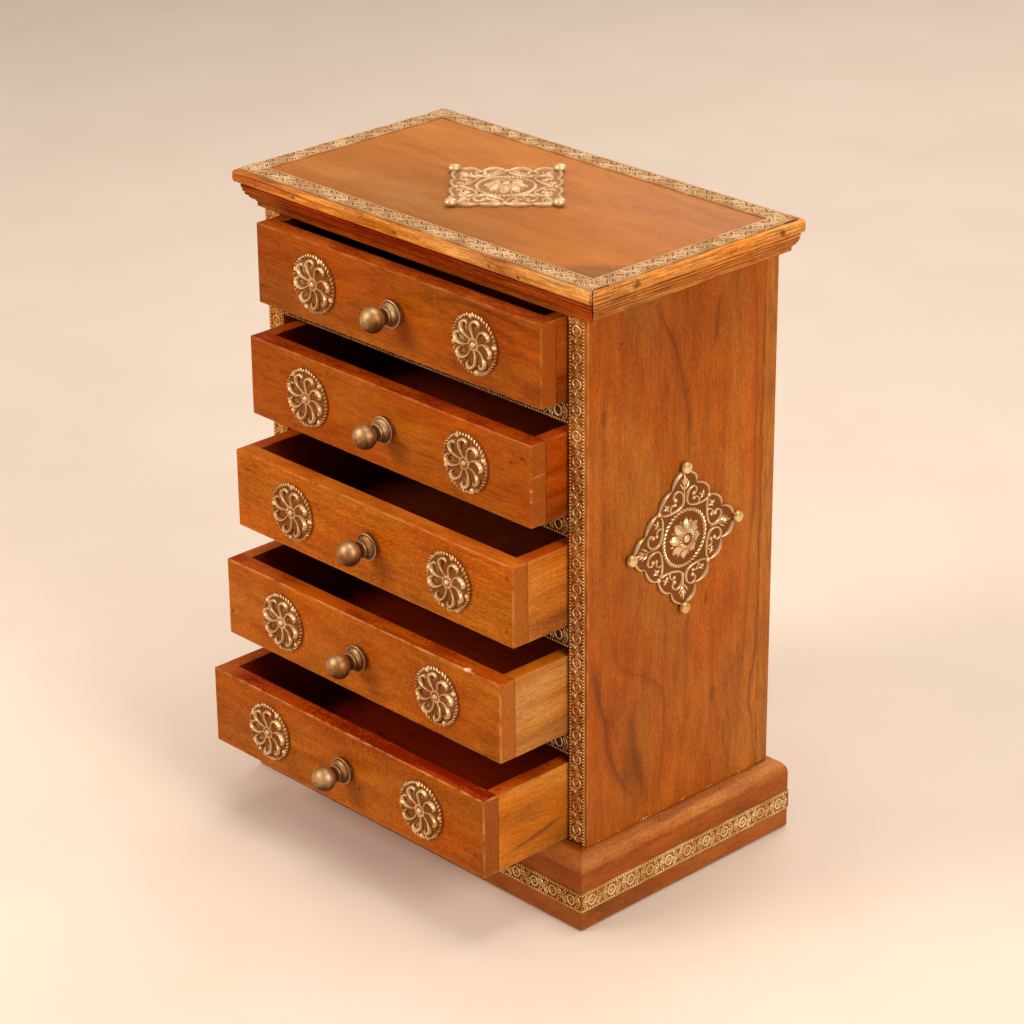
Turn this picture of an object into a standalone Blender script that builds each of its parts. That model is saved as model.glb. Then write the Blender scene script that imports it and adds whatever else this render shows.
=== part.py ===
"""Table-top wooden chest of five drawers with pressed brass trim, standing on a plinth.

The front faces -Y, the right side seen from the front is +X, up is +Z. The origin is the
middle of the plinth's underside. Sizes below are millimetres; the solids are built in metres.
The drawers stand pulled out, the top one least and the bottom one most.
"""

import math

import bmesh
import bpy

# Clearance left between two pieces that touch.
JOINT_GAP = 0.3

# Plinth: the block that the chest stands on, a little larger than the body all round.
PLINTH_HEIGHT = 35.0
PLINTH_ROUND = 7.0
PLINTH_SIDE_LEDGE = 7.0
PLINTH_FRONT_LEDGE = 10.7
PLINTH_REAR_LEDGE = 7.3

# Body: two sides, a back that covers their rear edges, four drawer dividers.
BODY_WIDTH = 205.6
SIDE_THICKNESS = 11.0
SIDE_DEPTH = 109.4
BACK_THICKNESS = 7.7
DIVIDER_THICKNESS = 10.0
DRAWER_COUNT = 5
TOP_SPACE_LESS = 2.0

# Top: a board with a moulding on its front and side edges.
CHEST_HEIGHT = 300.0
TOP_THICKNESS = 16.0
TOP_SIDE_OVERHANG = 11.5
TOP_FRONT_OVERHANG = 8.9
TOP_BACK_OVERHANG = 3.2
MOULDING_DEPTH = 9.0
MITRE_GAP = 0.2

# Moulding section: distance in from the outermost edge, height above the underside.
MOULDING_SECTION = (
    (9.0, 16.0),
    (1.4, 16.0),
    (0.4, 15.3),
    (0.0, 14.2),
    (0.0, 11.4),
    (0.5, 10.0),
    (1.5, 9.4),
    (2.5, 9.4),
    (2.5, 8.3),
    (3.0, 6.9),
    (4.0, 5.8),
    (5.4, 5.2),
    (5.4, 3.6),
    (6.2, 3.3),
    (6.9, 2.1),
    (7.9, 1.5),
    (7.9, 0.0),
    (9.0, 0.0),
)

# Drawers: front, two sides butting against it, a back and a bottom between the sides.
DRAWER_SIDE_CLEARANCE = 1.0
DRAWER_LIFT = 0.4
DRAWER_HEADROOM = 4.0
DRAWER_BACK_CLEARANCE = 1.4
DRAWER_FRONT_THICKNESS = 8.5
DRAWER_SIDE_THICKNESS = 7.0
DRAWER_BACK_THICKNESS = 7.0
DRAWER_BOTTOM_THICKNESS = 4.0
DRAWER_BOTTOM_RAISE = 1.0
DRAWER_FRONT_ROUND = 0.8
DRAWER_OPENINGS = (15.1, 21.3, 32.3, 40.4, 50.9)

# Knob: a turned flange, a neck and a ball, on the middle of each drawer front.
KNOB_FLANGE_RADIUS = 6.7
KNOB_NECK_RADIUS = 3.2
KNOB_BALL_RADIUS = 5.5
KNOB_BALL_REACH = 12.0
KNOB_SEGMENTS = 16

# Rosette: a pressed disc with a swirl of petals and a button in the middle.
ROSETTE_RADIUS = 14.25
ROSETTE_OFFSET_SHARE = 0.567
ROSETTE_PETALS = 8
ROSETTE_SWIRL = 0.55
ROSETTE_SHEET = 0.8
ROSETTE_BUTTON_RADIUS = 2.4
ROSETTE_BUTTON_HEIGHT = 3.2

# Brass strip: pressed ribbon, used on the front edges, round the plinth and round the top.
STRIP_WIDTH = 9.5
STRIP_THICKNESS = 0.6
STRIP_EDGE_MARGIN = 1.3
PLINTH_BAND_HEIGHT = 14.1
TOP_STRIP_MARGIN = 2.2

# Ornament: a square plate set on its corner, with a ring, a flower and four dome nails.
ORNAMENT_HALF_DIAGONAL = 33.4
ORNAMENT_SCALLOP = 1.6
ORNAMENT_SHEET = 1.0
ORNAMENT_RIM_RISE = 0.7
ORNAMENT_RING_RADIUS = 13.0
ORNAMENT_FLOWER_RADIUS = 8.6
ORNAMENT_FLOWER_HEIGHT = 4.2
ORNAMENT_BUTTON_RADIUS = 2.3
ORNAMENT_SEGMENTS = 48
NAIL_RADIUS = 2.5
NAIL_HEIGHT = 4.3
NAIL_SEGMENTS = 10
SIDE_ORNAMENT_RISE_SHARE = 0.53
SIDE_ORNAMENT_BACK_SHARE = 0.496
TOP_ORNAMENT_LEFT = 6.0

# Places that follow from the sizes above.
HALF_BODY = BODY_WIDTH / 2
BODY_DEPTH = SIDE_DEPTH + JOINT_GAP + BACK_THICKNESS
PLINTH_WIDTH = BODY_WIDTH + 2 * PLINTH_SIDE_LEDGE
PLINTH_DEPTH = PLINTH_FRONT_LEDGE + BODY_DEPTH + PLINTH_REAR_LEDGE
BODY_FRONT = -PLINTH_DEPTH / 2 + PLINTH_FRONT_LEDGE
SIDE_REAR = BODY_FRONT + SIDE_DEPTH
BACK_REAR = SIDE_REAR + JOINT_GAP + BACK_THICKNESS
BODY_FOOT = PLINTH_HEIGHT + JOINT_GAP
TOP_UNDERSIDE = CHEST_HEIGHT - TOP_THICKNESS
BODY_HEAD = TOP_UNDERSIDE - JOINT_GAP
INNER_HALF = HALF_BODY - SIDE_THICKNESS
TOP_HALF = HALF_BODY + TOP_SIDE_OVERHANG
TOP_FRONT = BODY_FRONT - TOP_FRONT_OVERHANG
TOP_REAR = BACK_REAR + TOP_BACK_OVERHANG
SIDE_ORNAMENT_HEIGHT = PLINTH_HEIGHT + SIDE_ORNAMENT_RISE_SHARE * (TOP_UNDERSIDE - PLINTH_HEIGHT)
DRAWER_HALF = INNER_HALF - DRAWER_SIDE_CLEARANCE
ROSETTE_OFFSET = ROSETTE_OFFSET_SHARE * DRAWER_HALF
DRAWER_DEPTH = SIDE_DEPTH - DRAWER_BACK_CLEARANCE

# The drawer spaces share the height between plinth and top. The uppermost is a little lower.
ALL_SPACES = TOP_UNDERSIDE - PLINTH_HEIGHT - (DRAWER_COUNT - 1) * DIVIDER_THICKNESS
SPACE_HEIGHT = (ALL_SPACES + TOP_SPACE_LESS) / DRAWER_COUNT
DRAWER_PITCH = SPACE_HEIGHT + DIVIDER_THICKNESS
DRAWER_HEIGHT = SPACE_HEIGHT - DRAWER_LIFT - DRAWER_HEADROOM

WOOD_LIGHT = (0.42, 0.15, 0.03)
WOOD_WARM = (0.36, 0.11, 0.02)
WOOD_SIDE = (0.30, 0.09, 0.02)
WOOD_DARK = (0.07, 0.015, 0.008)
WOOD_MOULDING = (0.48, 0.19, 0.045)
BRASS_PALE = (0.72, 0.52, 0.24)
BRASS_WARM = (0.62, 0.42, 0.18)
BRASS_OLD = (0.40, 0.26, 0.13)


def clear_scene():
    for thing in list(bpy.data.objects):
        bpy.data.objects.remove(thing, do_unlink=True)


def paint(thing, colour, metallic, roughness):
    material = bpy.data.materials.new(thing.name)
    material.use_nodes = True
    shader = material.node_tree.nodes["Principled BSDF"]
    shader.inputs["Base Color"].default_value = (*colour, 1.0)
    shader.inputs["Metallic"].default_value = metallic
    shader.inputs["Roughness"].default_value = roughness
    thing.data.materials.append(material)


def to_object(name, shape, colour, metallic=0.0, roughness=0.4, parent=None):
    bmesh.ops.scale(shape, vec=(0.001, 0.001, 0.001), verts=shape.verts)
    bmesh.ops.recalc_face_normals(shape, faces=shape.faces)
    mesh = bpy.data.meshes.new(name)
    shape.to_mesh(mesh)
    shape.free()
    thing = bpy.data.objects.new(name, mesh)
    bpy.context.scene.collection.objects.link(thing)
    paint(thing, colour, metallic, roughness)
    if parent is not None:
        thing.parent = parent
        thing.matrix_parent_inverse = parent.matrix_world.inverted()
    return thing


def wood(name, shape, colour, parent=None):
    return to_object(name, shape, colour, 0.0, 0.38, parent)


def brass(name, shape, colour=BRASS_PALE, parent=None):
    return to_object(name, shape, colour, 1.0, 0.32, parent)


def box(low, high):
    shape = bmesh.new()
    corners = []
    for z in (low[2], high[2]):
        for x, y in ((low[0], low[1]), (high[0], low[1]), (high[0], high[1]), (low[0], high[1])):
            corners.append(shape.verts.new((x, y, z)))
    shape.faces.new(corners[3::-1])
    shape.faces.new(corners[4:])
    for i in range(4):
        j = (i + 1) % 4
        shape.faces.new((corners[i], corners[j], corners[j + 4], corners[i + 4]))
    return shape


def soften(shape, size, wanted, segments=1):
    edges = [edge for edge in shape.edges if wanted(edge)]
    bmesh.ops.bevel(
        shape, geom=edges, offset=size, segments=segments, profile=0.5, affect="EDGES"
    )
    return shape


def ends_match(edge, axis, value):
    return all(abs(vert.co[axis] - value) < 1e-6 for vert in edge.verts)


def rings_to_shape(rings):
    """Close a stack of equal rings of points into one solid, flat at the first and last ring."""
    shape = bmesh.new()
    levels = [[shape.verts.new(point) for point in ring] for ring in rings]
    count = len(levels[0])
    for lower, upper in zip(levels, levels[1:]):
        for i in range(count):
            j = (i + 1) % count
            shape.faces.new((lower[i], lower[j], upper[j], upper[i]))
    shape.faces.new(levels[0][::-1])
    shape.faces.new(levels[-1])
    return shape


def band(outer_low, outer_high, inner_low, inner_high, bottom, top):
    """A rectangular ring of constant section around the vertical axis."""
    shape = bmesh.new()

    def corners(low, high, z):
        pairs = ((low[0], low[1]), (high[0], low[1]), (high[0], high[1]), (low[0], high[1]))
        return [shape.verts.new((x, y, z)) for x, y in pairs]

    loops = (
        corners(outer_low, outer_high, bottom),
        corners(outer_low, outer_high, top),
        corners(inner_low, inner_high, top),
        corners(inner_low, inner_high, bottom),
    )
    for k in range(4):
        one = loops[k]
        two = loops[(k + 1) % 4]
        for i in range(4):
            j = (i + 1) % 4
            shape.faces.new((one[i], one[j], two[j], two[i]))
    return shape


def build_plinth():
    half_x = PLINTH_WIDTH / 2
    half_y = PLINTH_DEPTH / 2
    shape = box((-half_x, -half_y, 0.0), (half_x, half_y, PLINTH_HEIGHT))
    soften(shape, PLINTH_ROUND, lambda edge: ends_match(edge, 2, PLINTH_HEIGHT), 5)
    wood("plinth", shape, WOOD_WARM)

    inside_x = half_x + JOINT_GAP
    inside_y = half_y + JOINT_GAP
    outside_x = inside_x + STRIP_THICKNESS
    outside_y = inside_y + STRIP_THICKNESS
    ribbon = band(
        (-outside_x, -outside_y),
        (outside_x, outside_y),
        (-inside_x, -inside_y),
        (inside_x, inside_y),
        PLINTH_BAND_HEIGHT - STRIP_WIDTH / 2,
        PLINTH_BAND_HEIGHT + STRIP_WIDTH / 2,
    )
    brass("plinth_band", ribbon)


def divider_top(index):
    """Top of the surface that drawer number index (0 is the lowest) runs on."""
    return PLINTH_HEIGHT + index * DRAWER_PITCH


def build_body():
    for name, sign in (("side_left", -1), ("side_right", 1)):
        outer = sign * HALF_BODY
        inner = sign * INNER_HALF
        shape = box(
            (min(outer, inner), BODY_FRONT, BODY_FOOT),
            (max(outer, inner), SIDE_REAR, BODY_HEAD),
        )
        wood(name, shape, WOOD_SIDE)

    shape = box(
        (-HALF_BODY, SIDE_REAR + JOINT_GAP, BODY_FOOT), (HALF_BODY, BACK_REAR, BODY_HEAD)
    )
    wood("back_panel", shape, WOOD_LIGHT)

    for index in range(1, DRAWER_COUNT):
        top = divider_top(index)
        number = DRAWER_COUNT - index
        shape = box(
            (-INNER_HALF + JOINT_GAP, BODY_FRONT, top - DIVIDER_THICKNESS),
            (INNER_HALF - JOINT_GAP, SIDE_REAR, top),
        )
        wood(f"divider_{number}", shape, WOOD_WARM)

    face = BODY_FRONT - JOINT_GAP
    for name, sign in (("front_strip_left", -1), ("front_strip_right", 1)):
        outer = sign * (HALF_BODY - STRIP_EDGE_MARGIN)
        inner = sign * (HALF_BODY - STRIP_EDGE_MARGIN - STRIP_WIDTH)
        shape = box(
            (min(outer, inner), face - STRIP_THICKNESS, BODY_FOOT),
            (max(outer, inner), face, BODY_HEAD),
        )
        brass(name, shape)


def moulding_run(start, finish):
    """Sweep the moulding section between two end functions of the distance in."""
    rings = []
    for place in (start, finish):
        rings.append([place(inset, TOP_UNDERSIDE + rise) for inset, rise in MOULDING_SECTION])
    return rings_to_shape(rings)


def build_top():
    edge = TOP_HALF - MOULDING_DEPTH - JOINT_GAP
    shape = box(
        (-edge, TOP_FRONT + MOULDING_DEPTH + JOINT_GAP, TOP_UNDERSIDE),
        (edge, TOP_REAR, CHEST_HEIGHT),
    )
    wood("top_board", shape, WOOD_LIGHT)

    front = moulding_run(
        lambda inset, z: (-TOP_HALF + inset + MITRE_GAP, TOP_FRONT + inset, z),
        lambda inset, z: (TOP_HALF - inset - MITRE_GAP, TOP_FRONT + inset, z),
    )
    wood("moulding_front", front, WOOD_MOULDING)
    for name, sign in (("moulding_left", -1), ("moulding_right", 1)):
        side = moulding_run(
            lambda inset, z: (sign * (TOP_HALF - inset), TOP_FRONT + inset + MITRE_GAP, z),
            lambda inset, z: (sign * (TOP_HALF - inset), TOP_REAR, z),
        )
        wood(name, side, WOOD_MOULDING)

    out_x = TOP_HALF - TOP_STRIP_MARGIN
    out_front = TOP_FRONT + TOP_STRIP_MARGIN
    out_rear = TOP_REAR - TOP_STRIP_MARGIN
    bottom = CHEST_HEIGHT + JOINT_GAP
    ribbon = band(
        (-out_x, out_front),
        (out_x, out_rear),
        (-out_x + STRIP_WIDTH, out_front + STRIP_WIDTH),
        (out_x - STRIP_WIDTH, out_rear - STRIP_WIDTH),
        bottom,
        bottom + STRIP_THICKNESS,
    )
    brass("top_border", ribbon)


def ornament_angle(step):
    """Direction of an outline point, chosen so that the points are even along each side."""
    per_side = ORNAMENT_SEGMENTS // 4
    along = (step % per_side) / per_side
    return (step // per_side) * math.pi / 2 + math.atan2(along, 1.0 - along)


def ornament_reach(angle):
    """Outline of the ornament: a square on its corner with four scallops along each side."""
    quarter = angle % (math.pi / 2)
    spread = math.cos(quarter) + math.sin(quarter)
    along = math.sin(quarter) / spread
    ends = min(1.0, 6.0 * along, 6.0 * (1.0 - along))
    scallop = ORNAMENT_SCALLOP * (abs(math.sin(4 * math.pi * along)) - 0.2)
    return ORNAMENT_HALF_DIAGONAL / spread + ends * scallop


def ornament_plate():
    """The plate lying flat on z = 0, with its corners on the X and Y axes."""
    sheet = ORNAMENT_SHEET
    levels = (
        (None, 1.0, 0.0),
        (None, 1.0, sheet + 0.3 * ORNAMENT_RIM_RISE),
        (None, 0.96, sheet + ORNAMENT_RIM_RISE),
        (None, 0.91, sheet),
        (ORNAMENT_RING_RADIUS + 1.0, 0.0, sheet),
        (ORNAMENT_RING_RADIUS, 0.0, sheet + ORNAMENT_RIM_RISE),
        (ORNAMENT_RING_RADIUS - 1.0, 0.0, sheet),
        (ORNAMENT_FLOWER_RADIUS, 0.0, sheet + 0.2),
        (ORNAMENT_FLOWER_RADIUS * 0.75, 0.0, 0.7 * ORNAMENT_FLOWER_HEIGHT),
        (ORNAMENT_BUTTON_RADIUS * 1.4, 0.0, 0.8 * ORNAMENT_FLOWER_HEIGHT),
        (ORNAMENT_BUTTON_RADIUS, 0.0, ORNAMENT_FLOWER_HEIGHT),
    )
    rings = []
    for radius, share, z in levels:
        ring = []
        for i in range(ORNAMENT_SEGMENTS):
            angle = ornament_angle(i)
            reach = radius if radius is not None else share * ornament_reach(angle)
            ring.append((reach * math.cos(angle), reach * math.sin(angle), z))
        rings.append(ring)
    return rings_to_shape(rings)


def nail_dome():
    levels = ((0.88, 0.0), (1.0, 0.3), (0.96, 0.58), (0.72, 0.84), (0.34, 0.98))
    rings = []
    for share, rise in levels:
        radius = share * NAIL_RADIUS
        z = 0.15 + rise * (NAIL_HEIGHT - 0.15)
        ring = []
        for i in range(NAIL_SEGMENTS):
            angle = 2 * math.pi * (i + 0.5) / NAIL_SEGMENTS
            ring.append((radius * math.cos(angle), radius * math.sin(angle), z))
        rings.append(ring)
    return rings_to_shape(rings)


def join(base, others):
    """Unite several loose meshes into the base object, so that it is one solid."""
    for index, other in enumerate(others):
        union = base.modifiers.new(f"union_{index}", "BOOLEAN")
        union.operation = "UNION"
        union.solver = "EXACT"
        union.object = other
    graph = bpy.context.evaluated_depsgraph_get()
    joined = bpy.data.meshes.new_from_object(base.evaluated_get(graph))
    base.modifiers.clear()
    base.data = joined
    for other in others:
        bpy.data.objects.remove(other, do_unlink=True)


def build_ornament(name, place):
    """place turns a point of the flat plate into a point of the chest."""
    plate = brass(name, ornament_plate(), BRASS_WARM)
    nails = []
    for i in range(4):
        dome = nail_dome()
        angle = i * math.pi / 2
        reach = ORNAMENT_HALF_DIAGONAL
        shift = (reach * math.cos(angle), reach * math.sin(angle), 0.0)
        bmesh.ops.translate(dome, vec=shift, verts=dome.verts)
        nails.append(brass(f"{name}_nail_{i}", dome))
    bpy.context.view_layer.update()
    join(plate, nails)
    for vert in plate.data.vertices:
        x, y, z = (value * 1000.0 for value in vert.co)
        vert.co = [value * 0.001 for value in place(x, y, z)]
    shape = bmesh.new()
    shape.from_mesh(plate.data)
    bmesh.ops.recalc_face_normals(shape, faces=shape.faces)
    shape.to_mesh(plate.data)
    shape.free()


def build_ornaments():
    middle = BODY_FRONT + SIDE_ORNAMENT_BACK_SHARE * BODY_DEPTH
    face = HALF_BODY + JOINT_GAP
    top = CHEST_HEIGHT + JOINT_GAP
    build_ornament("ornament_top", lambda x, y, z: (x - TOP_ORNAMENT_LEFT, y + middle, top + z))
    build_ornament(
        "ornament_right", lambda x, y, z: (face + z, middle + x, SIDE_ORNAMENT_HEIGHT + y)
    )
    build_ornament(
        "ornament_left", lambda x, y, z: (-face - z, middle - x, SIDE_ORNAMENT_HEIGHT + y)
    )


def knob_shape():
    """The knob standing on z = 0, turned about the Z axis."""
    levels = [
        (KNOB_FLANGE_RADIUS, 0.0),
        (KNOB_FLANGE_RADIUS, 0.9),
        (KNOB_FLANGE_RADIUS - 0.9, 1.4),
        (KNOB_NECK_RADIUS + 1.1, 2.8),
        (KNOB_NECK_RADIUS + 0.9, 3.8),
        (KNOB_NECK_RADIUS + 1.1, 4.5),
        (KNOB_NECK_RADIUS, 5.4),
    ]
    start = math.asin(KNOB_NECK_RADIUS / KNOB_BALL_RADIUS)
    steps = 6
    for i in range(steps):
        turn = start + (math.pi - 0.2 - start) * i / (steps - 1)
        radius = KNOB_BALL_RADIUS * math.sin(turn)
        levels.append((radius, KNOB_BALL_REACH - KNOB_BALL_RADIUS * math.cos(turn)))
    rings = []
    for radius, z in levels:
        ring = []
        for i in range(KNOB_SEGMENTS):
            angle = 2 * math.pi * i / KNOB_SEGMENTS
            ring.append((radius * math.cos(angle), radius * math.sin(angle), z))
        rings.append(ring)
    return rings_to_shape(rings)


def rosette_shape():
    """The rosette lying on z = 0: ridged petals that lean round as they run outwards."""
    levels = (
        (ROSETTE_RADIUS, 0.0, 0.0),
        (ROSETTE_RADIUS, 0.5 * ROSETTE_SHEET, 0.0),
        (ROSETTE_RADIUS - 0.7, ROSETTE_SHEET + 0.8, 0.0),
        (ROSETTE_RADIUS - 1.9, ROSETTE_SHEET, 0.0),
        (ROSETTE_RADIUS * 0.74, ROSETTE_SHEET + 0.3, 0.8),
        (ROSETTE_RADIUS * 0.46, ROSETTE_SHEET + 0.5, 0.8),
        (ROSETTE_BUTTON_RADIUS + 0.9, ROSETTE_SHEET + 0.7, 0.2),
        (ROSETTE_BUTTON_RADIUS, 0.75 * ROSETTE_BUTTON_HEIGHT, 0.0),
        (ROSETTE_BUTTON_RADIUS * 0.55, ROSETTE_BUTTON_HEIGHT, 0.0),
    )
    count = ROSETTE_PETALS * 3
    rings = []
    for radius, z, ridge in levels:
        lean = -ROSETTE_SWIRL * radius / ROSETTE_RADIUS
        ring = []
        for i in range(count):
            angle = 2 * math.pi * i / count + lean
            rise = z + (ridge if i % 3 == 0 else 0.0)
            ring.append((radius * math.cos(angle), radius * math.sin(angle), rise))
        rings.append(ring)
    return rings_to_shape(rings)


def on_drawer_front(shape, x, face, z):
    """Stand a piece modelled on z = 0 against a drawer front, facing forward."""
    for vert in shape.verts:
        px, py, pz = vert.co
        vert.co = (x + px, face - JOINT_GAP - pz, z + py)
    return shape


def build_drawer(index, opening):
    number = DRAWER_COUNT - index
    name = f"drawer_{number}"
    front_face = BODY_FRONT - opening
    front_back = front_face + DRAWER_FRONT_THICKNESS
    rear = front_face + DRAWER_DEPTH
    low = divider_top(index) + DRAWER_LIFT
    high = low + DRAWER_HEIGHT
    middle = (low + high) / 2
    inner = DRAWER_HALF - DRAWER_SIDE_THICKNESS

    handle = bpy.data.objects.new(name, None)
    handle.empty_display_size = 0.02
    handle.location = (0.0, front_face * 0.001, middle * 0.001)
    bpy.context.scene.collection.objects.link(handle)
    bpy.context.view_layer.update()

    front = box((-DRAWER_HALF, front_face, low), (DRAWER_HALF, front_back, high))
    soften(front, DRAWER_FRONT_ROUND, lambda edge: ends_match(edge, 1, front_face), 2)
    wood(f"{name}_front", front, WOOD_WARM, handle)

    for side, sign in (("left", -1), ("right", 1)):
        outer = sign * DRAWER_HALF
        inside = sign * inner
        shape = box(
            (min(outer, inside), front_back + JOINT_GAP, low), (max(outer, inside), rear, high)
        )
        wood(f"{name}_side_{side}", shape, WOOD_LIGHT, handle)

    floor_low = low + DRAWER_BOTTOM_RAISE
    floor_high = floor_low + DRAWER_BOTTOM_THICKNESS
    shape = box(
        (-inner + JOINT_GAP, front_back + JOINT_GAP, floor_low),
        (inner - JOINT_GAP, rear, floor_high),
    )
    wood(f"{name}_bottom", shape, WOOD_DARK, handle)
    shape = box(
        (-inner + JOINT_GAP, rear - DRAWER_BACK_THICKNESS, floor_high + JOINT_GAP),
        (inner - JOINT_GAP, rear, high),
    )
    wood(f"{name}_back", shape, WOOD_DARK, handle)

    knob = on_drawer_front(knob_shape(), 0.0, front_face, middle)
    brass(f"{name}_knob", knob, BRASS_OLD, handle)
    for side, sign in (("left", -1), ("right", 1)):
        rosette = on_drawer_front(rosette_shape(), sign * ROSETTE_OFFSET, front_face, middle)
        brass(f"{name}_rosette_{side}", rosette, BRASS_WARM, handle)


def main():
    clear_scene()
    build_plinth()
    build_body()
    build_top()
    build_ornaments()
    for index in range(DRAWER_COUNT):
        build_drawer(index, DRAWER_OPENINGS[DRAWER_COUNT - 1 - index])


main()
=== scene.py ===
import math
import random

import bmesh
import bpy
from mathutils import Matrix, Vector


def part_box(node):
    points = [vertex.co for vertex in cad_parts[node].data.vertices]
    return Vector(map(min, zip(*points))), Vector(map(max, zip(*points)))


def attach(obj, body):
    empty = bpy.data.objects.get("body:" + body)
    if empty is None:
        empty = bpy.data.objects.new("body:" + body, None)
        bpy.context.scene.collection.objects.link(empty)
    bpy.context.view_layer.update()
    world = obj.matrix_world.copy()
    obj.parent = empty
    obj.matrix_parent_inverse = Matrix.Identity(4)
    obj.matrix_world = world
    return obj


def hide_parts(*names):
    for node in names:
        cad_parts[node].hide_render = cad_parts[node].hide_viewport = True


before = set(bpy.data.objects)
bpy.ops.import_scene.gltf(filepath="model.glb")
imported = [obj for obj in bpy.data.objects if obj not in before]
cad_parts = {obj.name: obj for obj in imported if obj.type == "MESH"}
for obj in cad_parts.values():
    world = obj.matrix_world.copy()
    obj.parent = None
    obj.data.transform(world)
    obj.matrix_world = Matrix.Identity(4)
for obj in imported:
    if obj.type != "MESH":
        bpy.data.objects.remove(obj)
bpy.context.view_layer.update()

scene = bpy.context.scene
mm = 0.001
drawerNames = ["drawer_%d" % number for number in range(1, 6)]


# shader and geometry nodes written as expressions


class Val:
    def __init__(self, tree, socket):
        self.tree = tree
        self.socket = socket

    def node(self, kind, settings=None, values=None, out=0):
        made = self.tree.nodes.new(kind)
        for name, value in (settings or {}).items():
            if name == "stops":
                ramp = made.color_ramp
                while len(ramp.elements) < len(value):
                    ramp.elements.new(0.5)
                for element, (place, colour) in zip(ramp.elements, value):
                    element.position = place
                    element.color = (*colour, 1.0)
            elif name == "track":
                track = made.mapping.curves[0]
                track.points[0].location = value[0]
                track.points[-1].location = value[-1]
                for x, y in value[1:-1]:
                    track.points.new(x, y)
                made.mapping.update()
            else:
                setattr(made, name, value)
        for name, value in (values or {}).items():
            if isinstance(value, Val):
                self.tree.links.new(value.socket, made.inputs[name])
            else:
                made.inputs[name].default_value = value
        return Val(self.tree, made.outputs[out])

    def maths(self, operation, first, second=None):
        values = {0: first}
        if second is not None:
            values[1] = second
        return self.node("ShaderNodeMath", {"operation": operation}, values)

    def __add__(self, other):
        return self.maths("ADD", self, other)

    def __radd__(self, other):
        return self.maths("ADD", other, self)

    def __sub__(self, other):
        return self.maths("SUBTRACT", self, other)

    def __rsub__(self, other):
        return self.maths("SUBTRACT", other, self)

    def __mul__(self, other):
        return self.maths("MULTIPLY", self, other)

    def __rmul__(self, other):
        return self.maths("MULTIPLY", other, self)

    def __truediv__(self, other):
        return self.maths("DIVIDE", self, other)

    def __pow__(self, other):
        return self.maths("POWER", self, other)

    def wave(self):
        return self.maths("SINE", self) * 0.5 + 0.5

    def size(self):
        return self.maths("ABSOLUTE", self)

    def attribute(self, name):
        return self.node("ShaderNodeAttribute", {"attribute_name": name}, out="Fac")

    def step(self, low, high):  # 0 below low, 1 above high
        return self.node("ShaderNodeMapRange", {"interpolation_type": "SMOOTHSTEP"},
                         {"Value": self, "From Min": low, "From Max": high})

    def between(self, first, second):  # colour mix, this value is the share of second
        values = {0: self}
        for index, colour in ((6, first), (7, second)):
            values[index] = colour if isinstance(colour, Val) else (*colour, 1.0)
        return self.node("ShaderNodeMix", {"data_type": "RGBA"}, values, out=2)

    def vectorMaths(self, operation, other=None, out=0):
        values = {0: self}
        if other is not None:
            values["Scale" if operation == "SCALE" else 1] = other
        return self.node("ShaderNodeVectorMath", {"operation": operation}, values, out)

    def timesColour(self, other):
        return self.vectorMaths("MULTIPLY", other)

    def scaled(self, scale):
        return self.vectorMaths("SCALE", scale)

    def noise(self, detail):
        return self.node("ShaderNodeTexNoise", None, {"Vector": self, "Scale": 1.0, "Detail": detail})


def newFinish(name):
    material = bpy.data.materials.new(name)
    material.use_nodes = True
    tree = material.node_tree
    shader = tree.nodes["Principled BSDF"]
    place = Val(tree, tree.nodes.new("ShaderNodeTexCoord").outputs["Object"])
    return material, shader, place


def feed(shader, **sockets):
    for name, value in sockets.items():
        socket = shader.inputs[name.replace("_", " ")]
        if isinstance(value, Val):
            value.tree.links.new(value.socket, socket)
        else:
            socket.default_value = value


# wood


woodBase = {
    "grain": "x",            # axis the fibres run along
    "pith": (70.0, 20.0),    # heart of the log, across the grain, mm
    "ringGap": 6.0,
    "wander": 16.0,
    "figure": 0.16,
    "broad": 0.34,           # slow change over the board
    "mottle": 0.24,          # clouds of a few millimetres
    "fibre": 0.26,
    "speckle": 0.22,
    "chatter": 0.02,         # faint plane marks across the grain
    "tint": 1.0,             # drift from red to yellow brown
    "streak": 0.26,
    "streakFrom": 0.62,
    "streakSoft": 0.14,
    "pore": 0.40,
    "poreFrom": 0.57,
    "poreSoft": 0.13,
    "fleck": 0.16,
    "seed": 0.0,
    "body": (0.335, 0.066, 0.0040),
    "edgeTone": (0.55, 0.22, 0.055),
    "edgeWear": 0.45,
    # how painted sheen and rubbing lighten the wood
    "rubSheenTone": (1.25, 1.50, 3.2),
    # the tone that the painted shade in recesses multiplies in
    "grooveTone": (0.42, 0.26, 0.30),
    "roughness": 0.42,
    "gloss": 0.10,
    "bump": 0.22,
    "lines": [],             # drawn grain lines: (along, across) points, width, strength
    "lineAxis": 2,
    "spots": [],             # knots, stains, and painted light and shade: centre, radii, strength, and tone and edge where not spotRest
    # top edges of the drawers: painted light and shade
    "upperTones": ((0.55, 0.12, 0.12), (1.05, 0.60, 0.35)),
    "endTones": ((0.72, 0.80, 3.0), (0.95, 1.10, 4.8)),
    "glueBelow": None,       # height under which glue shows in the grain, mm
}
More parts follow.
